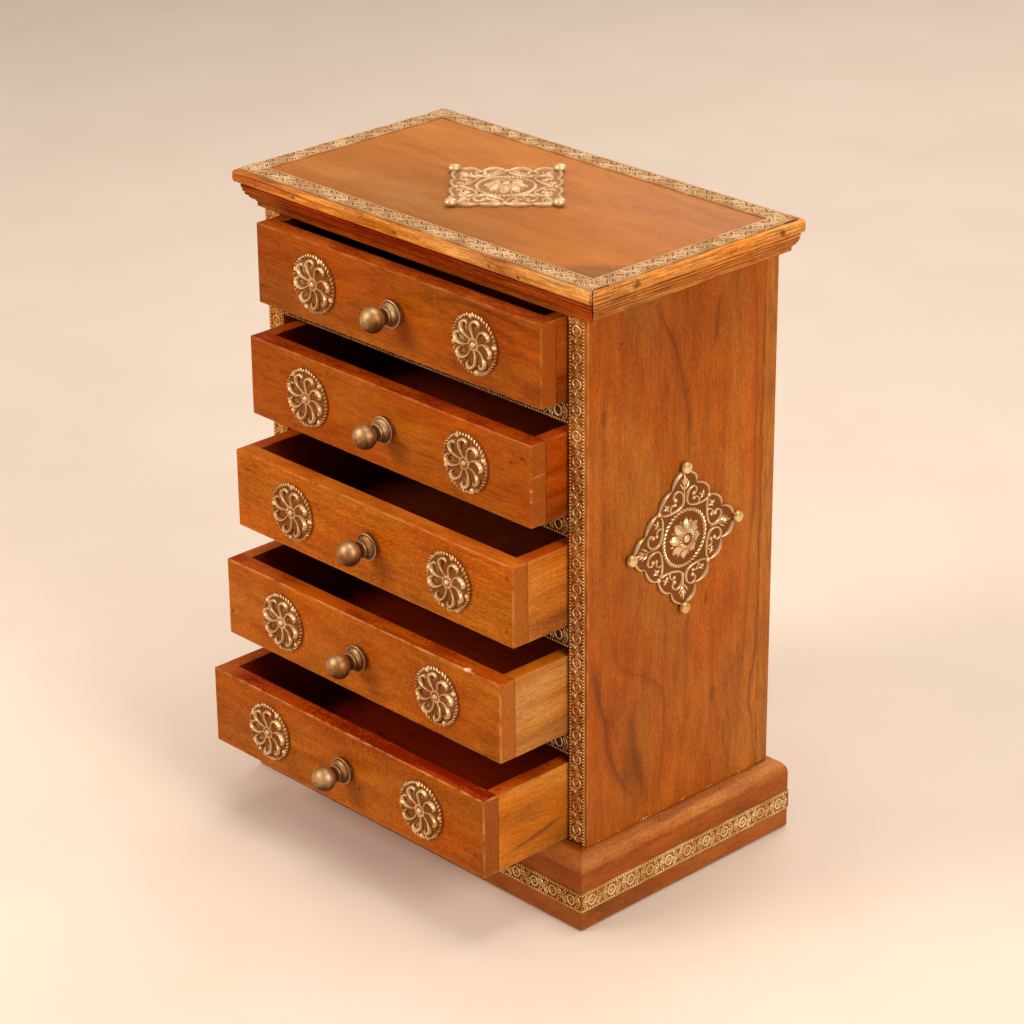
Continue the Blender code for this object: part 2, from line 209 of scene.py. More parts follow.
grainPatterns = {            # turns in a mm across the grain and along it, detail, shift
    "wander": (0.020, 0.0070, 2.0, 1.3),
    "ringPatch": (0.020, 0.006, 1.0, 9.4),
    "broad": (0.040, 0.010, 3.0, 7.1),
    "mottle": (0.17, 0.050, 2.0, 13.3),
    "fibre": (1.4, 0.050, 2.0, 3.7),
    "speckle": (1.3, 0.50, 1.0, 23.1),
    "chatterPatch": (0.02, 0.03, 1.0, 29.0),
    "tint": (0.035, 0.013, 2.0, 31.0),
    "streak": (0.16, 0.0065, 2.5, 11.9),
    "pore": (1.7, 0.14, 0.0, 5.3),
    "fleck": (1.7, 0.6, 0.0, 17.7),
}
woodSteps = {                # where a pattern starts to show and where it shows in full
    "ringPatch": (0.42, 0.66), "chatterPatch": (0.46, 0.62), "tint": (0.36, 0.64), "fleck": (0.66, 0.78),
    "endGrain": (0.30, 0.70), "upper": (0.44, 0.56), "wear": (0.32, 0.68), "glueGrain": (0.52, 0.60),
    "glueScuff": (0.5, 0.6),
}
woodTones = {                # shares of the body colour
    "low": (0.42, 0.33, 0.36), "high": (1.55, 1.95, 2.6), "streak": (0.32, 0.26, 0.4),
    "pore": (0.42, 0.36, 0.5), "fleck": (1.7, 2.4, 4.5), "line": (0.34, 0.34, 0.8),
    # inner is the painted shade on the inside faces of the drawers
    "inner": (0.50, 0.16, 0.25),
}
tintDrift = ((0.04, -0.10, -0.40), (-0.03, 0.10, 0.50))  # to red, to yellow
glueTone = (0.72, 0.56, 0.42)
woodRelief = {
    "scuffScale": 140.0, "scuffDetail": 3.0, "roughFibre": 0.15, "roughPore": 0.14, "roughScuff": 0.12,
    "bumpFibre": 0.35, "bumpPore": 0.8, "bumpMottle": 0.5, "bumpHigh": 0.00022,
}
lineSet = {
    "fade": 0.3,             # share of the length that fades away at each end
    "halo": (2.2, 0.45),     # share of the width, share of the strength
    "core": (0.7, 0.55),
    "broadShift": 5.0,       # how far the grain moves a line, mm
    "mottleShift": 3.0,
}
spotRest = ((0.20, 0.19, 0.5), 0.30)
spotSet = {
    "end": 1.15, "rag": 7.0, "ragMost": 1.5, "ragGrain": 0.6,
    "broadFrom": 15.0,       # from this size a spot tints what lies under it, mm
}
woodMix = {                  # how the patterns work on each other
    "sideShift": 0.7, "ringSharp": 4, "planeTurn": 2.3, "planeBend": 9.0, "face": 0.9,
    "upper": (0.3, 0.4, 0.3), "lineLeast": 0.7, "lineFibre": 0.5, "rubSheenLeast": 0.45, "rubSheenScuff": 0.9,
    "glueFade": 0.9,
}


def toned(colour, tone):
    return tuple(min(1.0, part * share) for part, share in zip(colour, tone))


def drawnLine(along, across, line):
    s = lineSet
    points, width, strength = line
    first, last = points[0][0], points[-1][0]
    low = min(value for _, value in points) - 1.0
    high = max(value for _, value in points) + 1.0
    share = (along - first) / (last - first)
    track = [((a - first) / (last - first), (b - low) / (high - low)) for a, b in points]
    middle = share.node("ShaderNodeFloatCurve", {"track": track}, {"Value": share}) * (high - low) + low
    fade = share.step(0.0, s["fade"]) * (1.0 - share.step(1.0 - s["fade"], 1.0)) * strength
    gap = (across - middle).size()
    halo, core = ((1.0 - gap.step(0.0, width * reach)) * part for reach, part in (s["halo"], s["core"]))
    return (halo + core) * fade


def woodFinish(name, **changes):
    look = {**woodBase, **changes}
    relief, mix = woodRelief, woodMix
    body = look["body"]
    tones = {part: toned(body, tone) for part, tone in woodTones.items()}
    material, shader, place = newFinish(name)
    tree = material.node_tree
    split = tree.nodes.new("ShaderNodeSeparateXYZ")
    tree.links.new(place.socket, split.inputs[0])
    axes = [Val(tree, socket) * (1 / mm) for socket in split.outputs]
    order = {"x": (0, 1, 2), "y": (1, 2, 0), "z": (2, 0, 1)}[look["grain"]]
    along, side, depth = (axes[index] for index in order)

    def grain(part):
        across, lengthwise, detail, shift = grainPatterns[part]
        vector = place.node("ShaderNodeCombineXYZ", None, {
            0: along * lengthwise + (look["seed"] + shift),
            1: side * across + shift * mix["sideShift"],
            2: depth * across})
        return vector.noise(detail)

    def patches(part):
        return grain(part).step(*woodSteps[part])

    # growth rings, plane marks and clouds in the body colour
    pithSide, pithDepth = look["pith"]
    radius = ((side - pithSide) ** 2 + (depth - pithDepth) ** 2) ** 0.5
    radius = radius + (grain("wander") - 0.5) * look["wander"]
    ring = (radius * (2 * math.pi / look["ringGap"])).wave() ** mix["ringSharp"]
    clouds = {part: grain(part) for part in ("broad", "mottle", "fibre", "speckle")}
    broad, mottle, fibre, speckle = clouds.values()
    plane = (along * mix["planeTurn"] + mottle * mix["planeBend"]).wave() * patches("chatterPatch")
    shade = 0.5
    for part, cloud in clouds.items():
        shade = shade + (cloud - 0.5) * (2 * look[part])
    shade = shade - ring * patches("ringPatch") * look["figure"] - plane * look["chatter"]
    colour = shade.node("ShaderNodeValToRGB", {"stops": [
        (0.0, tones["low"]), (0.5, body), (1.0, tones["high"])]}, {"Fac": shade})
    drift = ([1 + share * look["tint"] for share in way] for way in tintDrift)
    colour = colour.timesColour(patches("tint").between(*drift))

    # streaks, pores, flecks and the drawn lines
    streak = grain("streak").step(look["streakFrom"], look["streakFrom"] + look["streakSoft"])
    pore = grain("pore").step(look["poreFrom"], look["poreFrom"] + look["poreSoft"])
    for part, mark in (("streak", streak), ("pore", pore), ("fleck", patches("fleck"))):
        colour = (mark * look[part]).between(colour, tones[part])
    across = (axes[look["lineAxis"]] + (broad - 0.5) * lineSet["broadShift"]
              + (mottle - 0.5) * lineSet["mottleShift"])
    for line in look["lines"]:
        mark = drawnLine(along, across, line) * (mix["lineLeast"] + fibre * mix["lineFibre"])
        colour = mark.between(colour, tones["line"])

    # faces and corners with their own colour, and painted light, shade and sheen on some faces
    scuff = place.scaled(relief["scuffScale"]).noise(relief["scuffDetail"])
    broadShare, mottleShare, speckleShare = mix["upper"]
    upper = broad * broadShare + mottle * mottleShare + speckle * speckleShare
    # end grain takes its own colour; upward faces, the top edges of the drawers, take painted light and shade
    for part, cloud, pair in (("endGrain", speckle, "endTones"), ("upper", upper, "upperTones")):
        faceTone = cloud.step(*woodSteps[part]).between(*(toned(body, tone) for tone in look[pair]))
        colour = (place.attribute(part) * mix["face"]).between(colour, faceTone)
    # painted shade on the inside faces of the drawers
    colour = place.attribute("inner").between(colour, tones["inner"])
    # painted shade in the moulding recesses, under the nose and on the plinth ledge beside the body
    colour = place.attribute("groove").between(colour, colour.timesColour(look["grooveTone"]))
    # painted sheen on the rounded plinth top and the moulding nose, mixed with rubbing, in patches
    rubbed = place.attribute("rubbed") * (mix["rubSheenLeast"] + scuff * mix["rubSheenScuff"])
    colour = rubbed.between(colour, colour.timesColour(look["rubSheenTone"]))

    # knots, stains, and marks of painted light and shade
    for spot in look["spots"]:
        centre, radii, strength, tone, edge = spot + spotRest[len(spot) - 3:]
        widest = max(radii)
        gap = place.vectorMaths("SUBTRACT", Vector(centre) * mm).vectorMaths("DIVIDE", Vector(radii) * mm)
        rag = min(spotSet["ragMost"], spotSet["rag"] / widest)  # small marks are ragged, broad ones smooth
        gap = gap.vectorMaths("LENGTH", out="Value") + (scuff - 0.5) * rag
        gap = gap + (speckle - 0.5) * (rag * spotSet["ragGrain"])
        mark = (1.0 - gap.step(edge, spotSet["end"])) * strength
        colour = mark.between(
            colour, colour.timesColour(tone) if widest > spotSet["broadFrom"] else toned(body, tone))
    worn = place.attribute("arris") * scuff.step(*woodSteps["wear"]) * look["edgeWear"]
    colour = worn.between(colour, look["edgeTone"])
    if look["glueBelow"]:
        glue = 1.0 - axes[2].step(look["glueBelow"], look["glueBelow"] + mix["glueFade"])
        glue = glue * speckle.step(*woodSteps["glueGrain"])
        colour = (glue * scuff.step(*woodSteps["glueScuff"])).between(colour, glueTone)

    rough = (look["roughness"] + (fibre - 0.5) * relief["roughFibre"] + pore * relief["roughPore"]
             + (scuff - 0.5) * relief["roughScuff"])
    height = fibre * relief["bumpFibre"] - pore * relief["bumpPore"] + mottle * relief["bumpMottle"]
    bump = height.node("ShaderNodeBump", None, {
        "Height": height, "Strength": look["bump"], "Distance": relief["bumpHigh"]})
    feed(shader, Base_Color=colour, Roughness=rough, Normal=bump, Specular_IOR_Level=look["gloss"])
    return material


# brass


brassBase = {
    "bright": (0.80, 0.53, 0.25),
    "warm": (0.62, 0.36, 0.13),
    "recess": (0.250, 0.082, 0.020),
    "low": 0.10,
    "high": 0.70,
    "patchy": 0.35,
    "grit": 0.25,
    "metalHigh": 0.70,
    "metalLow": 0.05,
    "roughHigh": 0.40,
    "roughLow": 0.65,
    "roughGrit": 0.16,
    "patchScale": 90.0,
    "patchDetail": 3.0,
    "gritScale": 900.0,
    "gritDetail": 2.0,
    "turned": 0.0,           # fine rings left by the lathe, along Y
    "turnedScale": (150.0, 1900.0, 150.0),
    "goldStep": (0.35, 0.68),
    "gloss": 0.1,
    "bump": 0.25,
    "bumpShare": 0.6,
    "bumpHigh": 0.00015,
}


def brassFinish(name, **changes):
    look = {**brassBase, **changes}
    material, shader, place = newFinish(name)
    patch = place.scaled(look["patchScale"]).noise(look["patchDetail"])
    grit = place.scaled(look["gritScale"]).noise(look["gritDetail"])
    level = place.attribute("relief") + (patch - 0.5) * look["patchy"] + (grit - 0.5) * look["grit"]
    height = grit * look["bumpShare"] + patch * look["bumpShare"]
    if look["turned"]:
        rings = place.vectorMaths("MULTIPLY", look["turnedScale"]).noise(look["gritDetail"])
        level = level + (rings - 0.5) * look["turned"]
        height = height + rings * look["turned"]
    worn = level.step(look["low"], look["high"])
    gold = patch.step(*look["goldStep"]).between(look["warm"], look["bright"])
    colour = worn.between(look["recess"], gold)
    metal = worn * (look["metalHigh"] - look["metalLow"]) + look["metalLow"]
    rough = (worn * (look["roughHigh"] - look["roughLow"]) + look["roughLow"]
             + (grit - 0.5) * look["roughGrit"])
    bump = height.node("ShaderNodeBump", None, {
        "Height": height, "Strength": look["bump"], "Distance": look["bumpHigh"]})
    feed(shader, Base_Color=colour, Metallic=metal, Roughness=rough, Normal=bump,
         Specular_IOR_Level=look["gloss"])
    return material


# mesh helpers, all in millimetres until a piece is finished


facingShare = 0.9  # a face looks along a direction when its normal has this share of it
sharpAngle = 38.0


def newShape():
    shape = bmesh.new()
    # the vertex layers after relief carry painted shade in recesses and painted sheen with rubbing; the upper
    # and inner face layers carry painted light and shade
    for name in ("relief", "groove", "rubbed"):
        shape.verts.layers.float.new(name)
    for name in ("arris", "endGrain", "upper", "inner"):
        shape.faces.layers.float.new(name)
    return shape


def board(low, high, soft, segments=2, grain=0, inner=None, upper=False, joined=None):
    # a bevelled board; inner is the way its face with painted shade looks, upper marks its top edge for
    # painted light and shade, and joined is the way a face looks that is glued to another board and keeps its
    # corners
    shape = newShape()
    layers = shape.faces.layers.float
    size = [b - a for a, b in zip(low, high)]
    cube = bmesh.ops.create_cube(shape, size=1.0)["verts"]
    bmesh.ops.scale(shape, vec=size, verts=cube)
    bmesh.ops.translate(shape, vec=midway(low, high), verts=cube)
    edges = list(shape.edges)
    if joined:
        reach = max(vert.co.dot(Vector(joined)) for vert in cube) - 0.01
        edges = [edge for edge in edges if min(v.co.dot(Vector(joined)) for v in edge.verts) < reach]
    made = bmesh.ops.bevel(shape, geom=edges, offset=soft, segments=segments, profile=0.6, affect="EDGES")
    for face in made["faces"]:
        face[layers["arris"]] = 1.0
    shape.normal_update()
    for face in shape.faces:
        if abs(face.normal[grain]) > facingShare:
            face[layers["endGrain"]] = 1.0
        if upper and face.normal.z > facingShare:
            face[layers["upper"]] = 1.0
        if inner and face.normal.dot(Vector(inner)) > facingShare:
            face[layers["inner"]] = 1.0
    return shape


def loft(shape, rings, reliefs, layer="relief"):
    # joins equal rings of points into one closed skin
    layer = shape.verts.layers.float[layer]
    levels = []
    for ring, values in zip(rings, reliefs):
        level = []
        for point, value in zip(ring, values):
            vert = shape.verts.new(point)
            vert[layer] = value
            level.append(vert)
        levels.append(level)
    count = len(levels[0])
    for lower, upper in zip(levels, levels[1:]):
        for i in range(count):
            j = (i + 1) % count
            shape.faces.new((lower[i], lower[j], upper[j], upper[i]))
    shape.faces.new(levels[0][::-1])
    shape.faces.new(levels[-1])
    return levels


def circle(x, y, radius, height, segments):
    angles = (2 * math.pi * i / segments for i in range(segments))
    return [(x + radius * math.cos(angle), y + radius * math.sin(angle), height) for angle in angles]


def lathe(shape, profile, segments):
    # profile: radius, height, relief
    loft(shape, [circle(0.0, 0.0, radius, height, segments) for radius, height, _ in profile],
         [[relief] * segments for _, _, relief in profile])


def smoothPath(points, steps):
    # a soft curve through all the points
    path = []
    for i in range(len(points) - 1):
        p0 = Vector(points[max(i - 1, 0)])
        p1 = Vector(points[i])
        p2 = Vector(points[i + 1])
        p3 = Vector(points[min(i + 2, len(points) - 1)])
        for k in range(steps):
            t = k / steps
            path.append(0.5 * (2 * p1 + (p2 - p0) * t + (2 * p0 - 5 * p1 + 4 * p2 - p3) * t * t
                               + (3 * p1 - p0 - 3 * p2 + p3) * t ** 3))
    path.append(Vector(points[-1]))
    return path


def rib(shape, path, width, height, base, taper, arc=4, dark=0.35, crest=1.0):
    # a half-round wire along a path; dark and crest are the relief at its foot and top
    rings = []
    reliefs = []
    last = len(path) - 1
    for k, point in enumerate(path):
        ahead = Vector(path[min(k + 1, last)])
        behind = Vector(path[max(k - 1, 0)])
        run = (ahead - behind).normalized()
        across = Vector((-run.y, run.x))
        share = taper(k / last) if taper else 1.0
        ring = []
        values = []
        for i in range(arc + 1):
            turn = math.pi * i / arc
            place = Vector(point[:2]) - across * (math.cos(turn) * width * share)
            ring.append((place.x, place.y, base + math.sin(turn) * height * share))
            values.append(dark + (crest - dark) * math.sin(turn))
        rings.append(ring)
        reliefs.append(values)
    loft(shape, rings, reliefs)


def dome(shape, x, y, radius, height, base, segments, rows, dark=0.45, crest=1.0):
    rings = [circle(x, y, radius, base, segments)]
    reliefs = [[dark] * segments]
    for row in range(1, rows + 1):
        turn = math.pi / 2 * row / (rows + 0.35)
        rings.append(circle(x, y, radius * math.cos(turn), base + height * math.sin(turn), segments))
        reliefs.append([dark + (crest - dark) * math.sin(turn)] * segments)
    loft(shape, rings, reliefs)


def leaf(shape, root, tip, width, height, base):
    path = [Vector(root).lerp(Vector(tip), k / 6) for k in range(7)]
    rib(shape, path, width, height, base, lambda t: 0.18 + 0.82 * math.sin(math.pi * t ** 0.8))


def pour(source, target, place=None):
    # copies one shape or mesh into another, moved by place
    if isinstance(source, bpy.types.Mesh):
        copy = bmesh.new()
        copy.from_mesh(source)
        bmesh.ops.scale(copy, vec=(1 / mm,) * 3, verts=copy.verts)
    else:
        copy = source.copy()
    if place:
        for vert in copy.verts:
            vert.co = place(*vert.co)
    spare = bpy.data.meshes.new("spare")
    copy.to_mesh(spare)
    copy.free()
    target.from_mesh(spare)
    bpy.data.meshes.remove(spare)


def toMesh(name, shape, sharp=sharpAngle):
    bmesh.ops.scale(shape, vec=(mm, mm, mm), verts=shape.verts)
    bmesh.ops.recalc_face_normals(shape, faces=shape.faces)
    mesh = bpy.data.meshes.new(name)
    shape.to_mesh(mesh)
    shape.free()
    for polygon in mesh.polygons:
        polygon.use_smooth = True
    mesh.set_sharp_from_angle(angle=math.radians(sharp))
    return mesh


def newPiece(name, shape, material, body, slot, nodes, sharp=sharpAngle):
    mesh = toMesh(name, shape, sharp)
    mesh.materials.clear()
    mesh.materials.append(material)
    piece = bpy.data.objects.new(name, mesh)
    scene.collection.objects.link(piece)
    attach(piece, body)
    if nodes:
        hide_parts(*nodes)


def nodeBox(node):
    low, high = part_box(node)
    return [value / mm for value in low], [value / mm for value in high]


def midway(low, high):
    return [(a + b) / 2 for a, b in zip(low, high)]


# node trees for what repeats


def newTree(name, inputs):
    tree = bpy.data.node_groups.new(name, "GeometryNodeTree")
    tree.interface.new_socket("Geometry", in_out="INPUT", socket_type="NodeSocketGeometry")
    for label, kind in inputs:
        tree.interface.new_socket(label, in_out="INPUT", socket_type=kind)
    tree.interface.new_socket("Geometry", in_out="OUTPUT", socket_type="NodeSocketGeometry")
    entry = tree.nodes.new("NodeGroupInput")
    return tree, {socket.name: Val(tree, socket) for socket in entry.outputs if socket.name}


def closeTree(tree, geometry, metal):
    solid = geometry.node("GeometryNodeRealizeInstances", None, {"Geometry": geometry})
    solid = solid.node("GeometryNodeSetMaterial", None, {"Geometry": solid, "Material": metal})
    exitNode = tree.nodes.new("NodeGroupOutput")
    tree.links.new(solid.socket, exitNode.inputs[0])
    return tree


def runTree(tree, mesh, values):
    holder = bpy.data.objects.new("holder", mesh)
    scene.collection.objects.link(holder)
    modifier = holder.modifiers.new("repeat", "NODES")
    modifier.node_group = tree
    for item in tree.interface.items_tree:
        if item.in_out == "INPUT" and item.name in values:
            modifier[item.identifier] = values[item.name]
    holder.update_tag()
    bpy.context.view_layer.update()
    graph = bpy.context.evaluated_depsgraph_get()
    result = bpy.data.meshes.new_from_object(holder.evaluated_get(graph))
    holder.modifiers.remove(modifier)
    bpy.data.objects.remove(holder, do_unlink=True)
    return result


def wheelTree():
    # copies of one piece set round a circle, each turned to face outwards
    tree, given = newTree("aroundCircle", [
        ("Piece", "NodeSocketObject"), ("Count", "NodeSocketInt"), ("Radius", "NodeSocketFloat"),
        ("First Angle", "NodeSocketFloat"), ("Vary", "NodeSocketFloat"), ("Seed", "NodeSocketInt"),
        ("Metal", "NodeSocketMaterial")])
    start = given["Geometry"]
    circle = start.node("GeometryNodeMeshCircle", None,
                        {"Vertices": given["Count"], "Radius": given["Radius"]})
    index = start.node("GeometryNodeInputIndex")
    turn = index / given["Count"] * (2 * math.pi)
    angles = start.node("ShaderNodeCombineXYZ", None, {2: turn})
    rotation = start.node("FunctionNodeEulerToRotation", None, {0: angles})
    piece = start.node("GeometryNodeObjectInfo", None, {"Object": given["Piece"]}, out="Geometry")
    loss = start.node("FunctionNodeRandomValue", {"data_type": "FLOAT"},
                      {2: 0.0, 3: given["Vary"], "Seed": given["Seed"]}, out=1)
    size = start.node("ShaderNodeCombineXYZ", None, {0: 1.0 - loss, 1: 1.0 - loss, 2: 1.0})
    copies = start.node("GeometryNodeInstanceOnPoints", None,
                        {"Points": circle, "Instance": piece, "Rotation": rotation, "Scale": size})
    whole = start.node("ShaderNodeCombineXYZ", None, {2: given["First Angle"]})
    turned = start.node("GeometryNodeTransform", None, {"Geometry": copies, "Rotation": whole})
    return closeTree(tree, turned, given["Metal"])


def stripTree():
    # a pressed motif and two rows of beads that follow straight runs of strip
    tree, given = newTree("pressedStrip", [
        ("Motif", "NodeSocketObject"), ("Bead", "NodeSocketObject"),
        ("Motif Pitch", "NodeSocketFloat"), ("Bead Pitch", "NodeSocketFloat"),
        ("Bead Row", "NodeSocketFloat"), ("Press From", "NodeSocketFloat"), ("Press To", "NodeSocketFloat"),
        ("Seed", "NodeSocketInt"), ("Metal", "NodeSocketMaterial")])
    start = given["Geometry"]
    runs = start.node("GeometryNodeMeshToCurve", None, {"Mesh": start})
    outward = start.node("GeometryNodeInputNamedAttribute", {"data_type": "FLOAT_VECTOR"},
                         {"Name": "outward"})
    tangent = start.node("GeometryNodeInputTangent")
    length = start.node("GeometryNodeSplineLength", out="Length")
    across = outward.vectorMaths("CROSS_PRODUCT", tangent)
    facing = start.node("FunctionNodeAlignRotationToVector", {"axis": "Z"}, {"Vector": outward})
    facing = start.node("FunctionNodeAlignRotationToVector", {"axis": "X", "pivot_axis": "Z"},
                        {"Rotation": facing, "Vector": tangent})

    def resampled(pitch):  # the nearest whole number of steps
        return start.node("GeometryNodeResampleCurve", {"mode": "COUNT"},
                          {"Curve": runs, "Count": length / pitch + 1.5})

    def shifted(points, direction, distance):
        return start.node("GeometryNodeSetPosition", None,
                          {"Geometry": points, "Offset": direction.scaled(distance)})

    def shape(name):
        return start.node("GeometryNodeObjectInfo", None, {"Object": given[name]}, out="Geometry")

    inner = start.node("GeometryNodeCurveEndpointSelection", None, {"Start Size": 0, "End Size": 1})
    inner = start.node("FunctionNodeBooleanMath", {"operation": "NOT"}, {0: inner})
    press = start.node("FunctionNodeRandomValue", {"data_type": "FLOAT"},
                       {2: given["Press From"], 3: given["Press To"], "Seed": given["Seed"]}, out=1)
    size = start.node("ShaderNodeCombineXYZ", None, {0: 1.0, 1: 1.0, 2: press})
    middle = shifted(resampled(given["Motif Pitch"]), tangent, given["Motif Pitch"] * 0.5)
    motifs = start.node("GeometryNodeInstanceOnPoints", None, {
        "Points": middle, "Selection": inner, "Instance": shape("Motif"),
        "Rotation": facing, "Scale": size})
    join = tree.nodes.new("GeometryNodeJoinGeometry")
    tree.links.new(motifs.socket, join.inputs[0])
    for sign in (-1.0, 1.0):
        row = shifted(resampled(given["Bead Pitch"]), across, given["Bead Row"] * sign)
        beads = start.node("GeometryNodeInstanceOnPoints", None, {
            "Points": row, "Instance": shape("Bead"), "Rotation": facing})
        tree.links.new(beads.socket, join.inputs[0])
    return closeTree(tree, Val(tree, join.outputs[0]), given["Metal"])


aroundCircle = wheelTree()
pressedStrip = stripTree()


def pattern(name, shape):
    # a small source object for a node tree, removed once the trees have run
    item = bpy.data.objects.new(name, toMesh(name, shape))
    scene.collection.objects.link(item)
    return item


def dropPattern(item):
    mesh = item.data
    bpy.data.objects.remove(item, do_unlink=True)
    bpy.data.meshes.remove(mesh)


def wheel(target, source, count, radius, first, metal, vary=0.0):
    item = pattern("pattern", source)
    empty = bpy.data.meshes.new("points")
    made = runTree(aroundCircle, empty, {
        "Piece": item, "Count": count, "Radius": radius * mm, "First Angle": first, "Vary": vary, "Seed": 7,
        "Metal": metal})
    pour(made, target)
    bpy.data.meshes.remove(made)
    dropPattern(item)


# camera, light and floor


cameraSet = {
    "azimuth": 46.256, "elevation": 24.098, "roll": -0.482, "distance": 1533.3,
    "target": (-4.85, 3.0, 143.9), "focalPixels": 3337.1, "picture": 1024.0,
    "centre": (513.7, 512.5), "sensor": 36.0,
}


def buildCamera():
    s = cameraSet
    azimuth, elevation, roll = (math.radians(s[key]) for key in ("azimuth", "elevation", "roll"))
    back = Vector((math.sin(azimuth) * math.cos(elevation), -math.cos(azimuth) * math.cos(elevation),
                   math.sin(elevation)))
    right = (-back).cross(Vector((0, 0, 1))).normalized()
    up = right.cross(-back)
    across = math.cos(roll) * right + math.sin(roll) * up
    rise = -math.sin(roll) * right + math.cos(roll) * up
    spot = (Vector(s["target"]) + back * s["distance"]) * mm
    data = bpy.data.cameras.new("viewCamera")
    data.sensor_fit = "HORIZONTAL"
    data.sensor_width = s["sensor"]
    data.lens = s["focalPixels"] / s["picture"] * s["sensor"]
    data.shift_x = -(s["centre"][0] / s["picture"] - 0.5)
    data.shift_y = s["centre"][1] / s["picture"] - 0.5
    data.clip_start = 0.01
    camera = bpy.data.objects.new("viewCamera", data)
    camera.matrix_world = Matrix((
        (across.x, rise.x, back.x, spot.x), (across.y, rise.y, back.y, spot.y),
        (across.z, rise.z, back.z, spot.z), (0, 0, 0, 1)))
    scene.collection.objects.link(camera)
    scene.camera = camera


lightSet = [
    # name, place, aims at, size, power, colour
    ("softLeft", (-0.75, -1.35, 1.00), (0, 0, 0.15), 0.8, 21.0, (1.0, 0.95, 0.87)),
    ("softRight", (1.55, -0.25, 0.95), (0, 0, 0.15), 0.8, 18.5, (1.0, 0.96, 0.89)),
    ("overhead", (0.10, 0.20, 1.70), (0, 0, 0.20), 1.1, 16.0, (1.0, 0.97, 0.92)),
    ("rear", (-0.60, 1.40, 1.00), (0, 0, 0.15), 1.0, 6.0, (1.0, 0.96, 0.92)),
]
worldSet = {"colour": (1.0, 0.95, 0.90), "strength": 0.30}
floorSet = {
    "half": 3.0, "drop": 0.0004, "colour": (0.76, 0.615, 0.505), "cloud": (0.735, 0.59, 0.48),
    "cloudScale": 9.0, "cloudDetail": 4.0, "cloudStep": (0.3, 0.7), "roughness": 0.8, "gloss": 0.1,
}


def buildStage():
    for name, place, aim, size, power, colour in lightSet:
        data = bpy.data.lights.new(name, "AREA")
        data.shape = "DISK"
        data.size = size
        data.energy = power
        data.color = colour
        lamp = bpy.data.objects.new(name, data)
        lamp.location = place
        lamp.rotation_euler = (Vector(aim) - Vector(place)).to_track_quat("-Z", "Y").to_euler()
        scene.collection.objects.link(lamp)
    world = bpy.data.worlds.new("studio")
    world.use_nodes = True
    sky = world.node_tree.nodes["Background"]
    sky.inputs["Color"].default_value = (*worldSet["colour"], 1.0)
    sky.inputs["Strength"].default_value = worldSet["strength"]
    scene.world = world
    scene.view_settings.view_transform = "Standard"

    s = floorSet
    half = s["half"]
    mesh = bpy.data.meshes.new("floor")
    mesh.from_pydata([(-half, -half, 0), (half, -half, 0), (half, half, 0), (-half, half, 0)], [],
                     [(0, 1, 2, 3)])
    floor = bpy.data.objects.new("floor", mesh)
    floor.location = (0, 0, -s["drop"])
    scene.collection.objects.link(floor)
    material, shader, place = newFinish("paleFloor")
    cloud = place.scaled(s["cloudScale"]).noise(s["cloudDetail"]).step(*s["cloudStep"])
    feed(shader, Base_Color=cloud.between(s["colour"], s["cloud"]), Roughness=s["roughness"],
         Specular_IOR_Level=s["gloss"])
    mesh.materials.append(material)


# case: plinth, sides, back, dividers


caseSet = {
    "plinthHigh": 35.0, "plinthFlat": 24.0, "plinthRound": 7.0, "plinthWide": 30.0, "plinthMitre": 0.06,
    # the flat top of the plinth beside the body gets painted shade
    "plinthFoot": [(0.7, 0.0), (0.2, 0.25), (0.0, 0.8)], "plinthLedgeShade": 0.25, "plinthLedgeShadeFrom": 1.5,
    "plinthSteps": 6, "roundSteps": 10, "sheenRound": 0.7, "coreGap": 0.1, "coreFoot": 0.2, "coreSoft": 0.5,
    "sideSunk": 0.2, "sideSoft": 0.7, "backSoft": 0.8, "dividerSoft": 0.4,
}
rightSideLines = [  # (height, place along Y) points, width, strength
    ([(190.0, 4.0), (218.0, 4.6), (234.0, 1.8), (252.0, -2.9), (269.0, -10.5), (290.0, -24.0)], 2.2, 0.62),
    ([(20.0, 40.8), (73.0, 39.9), (102.0, 43.0), (141.0, 45.8), (194.0, 48.0), (236.0, 48.0), (270.0, 45.6),
      (320.0, 38.0)], 2.2, 0.55),
    ([(10.0, 51.6), (45.0, 51.0), (62.0, 49.6), (74.0, 47.6), (88.0, 49.8), (110.0, 51.2), (180.0, 51.8),
      (300.0, 51.5)], 1.4, 0.9),
    ([(248.0, 20.4), (262.0, 21.8), (277.0, 23.4)], 1.3, 0.62),
    ([(40.0, -20.0), (64.0, -38.0), (79.0, -44.2), (92.0, -45.8), (104.0, -50.0), (136.0, -56.0)], 3.4, 0.75),
    ([(36.0, -18.0), (61.0, -24.5), (78.0, -28.5), (104.0, -31.0)], 6.0, 0.60),
    ([(30.0, -14.0), (61.0, -9.6), (80.0, -7.6), (93.0, -9.5), (107.0, -22.0), (117.0, -37.0),
      (146.0, -47.0)], 2.6, 0.45),
    ([(40.0, 7.0), (110.0, 5.0), (180.0, 12.0)], 2.0, 0.26),
    ([(30.0, 20.0), (90.0, 22.0), (150.0, 19.0)], 1.8, 0.24),
    ([(120.0, -46.0), (200.0, -47.5), (290.0, -44.0)], 2.0, 0.35),
]
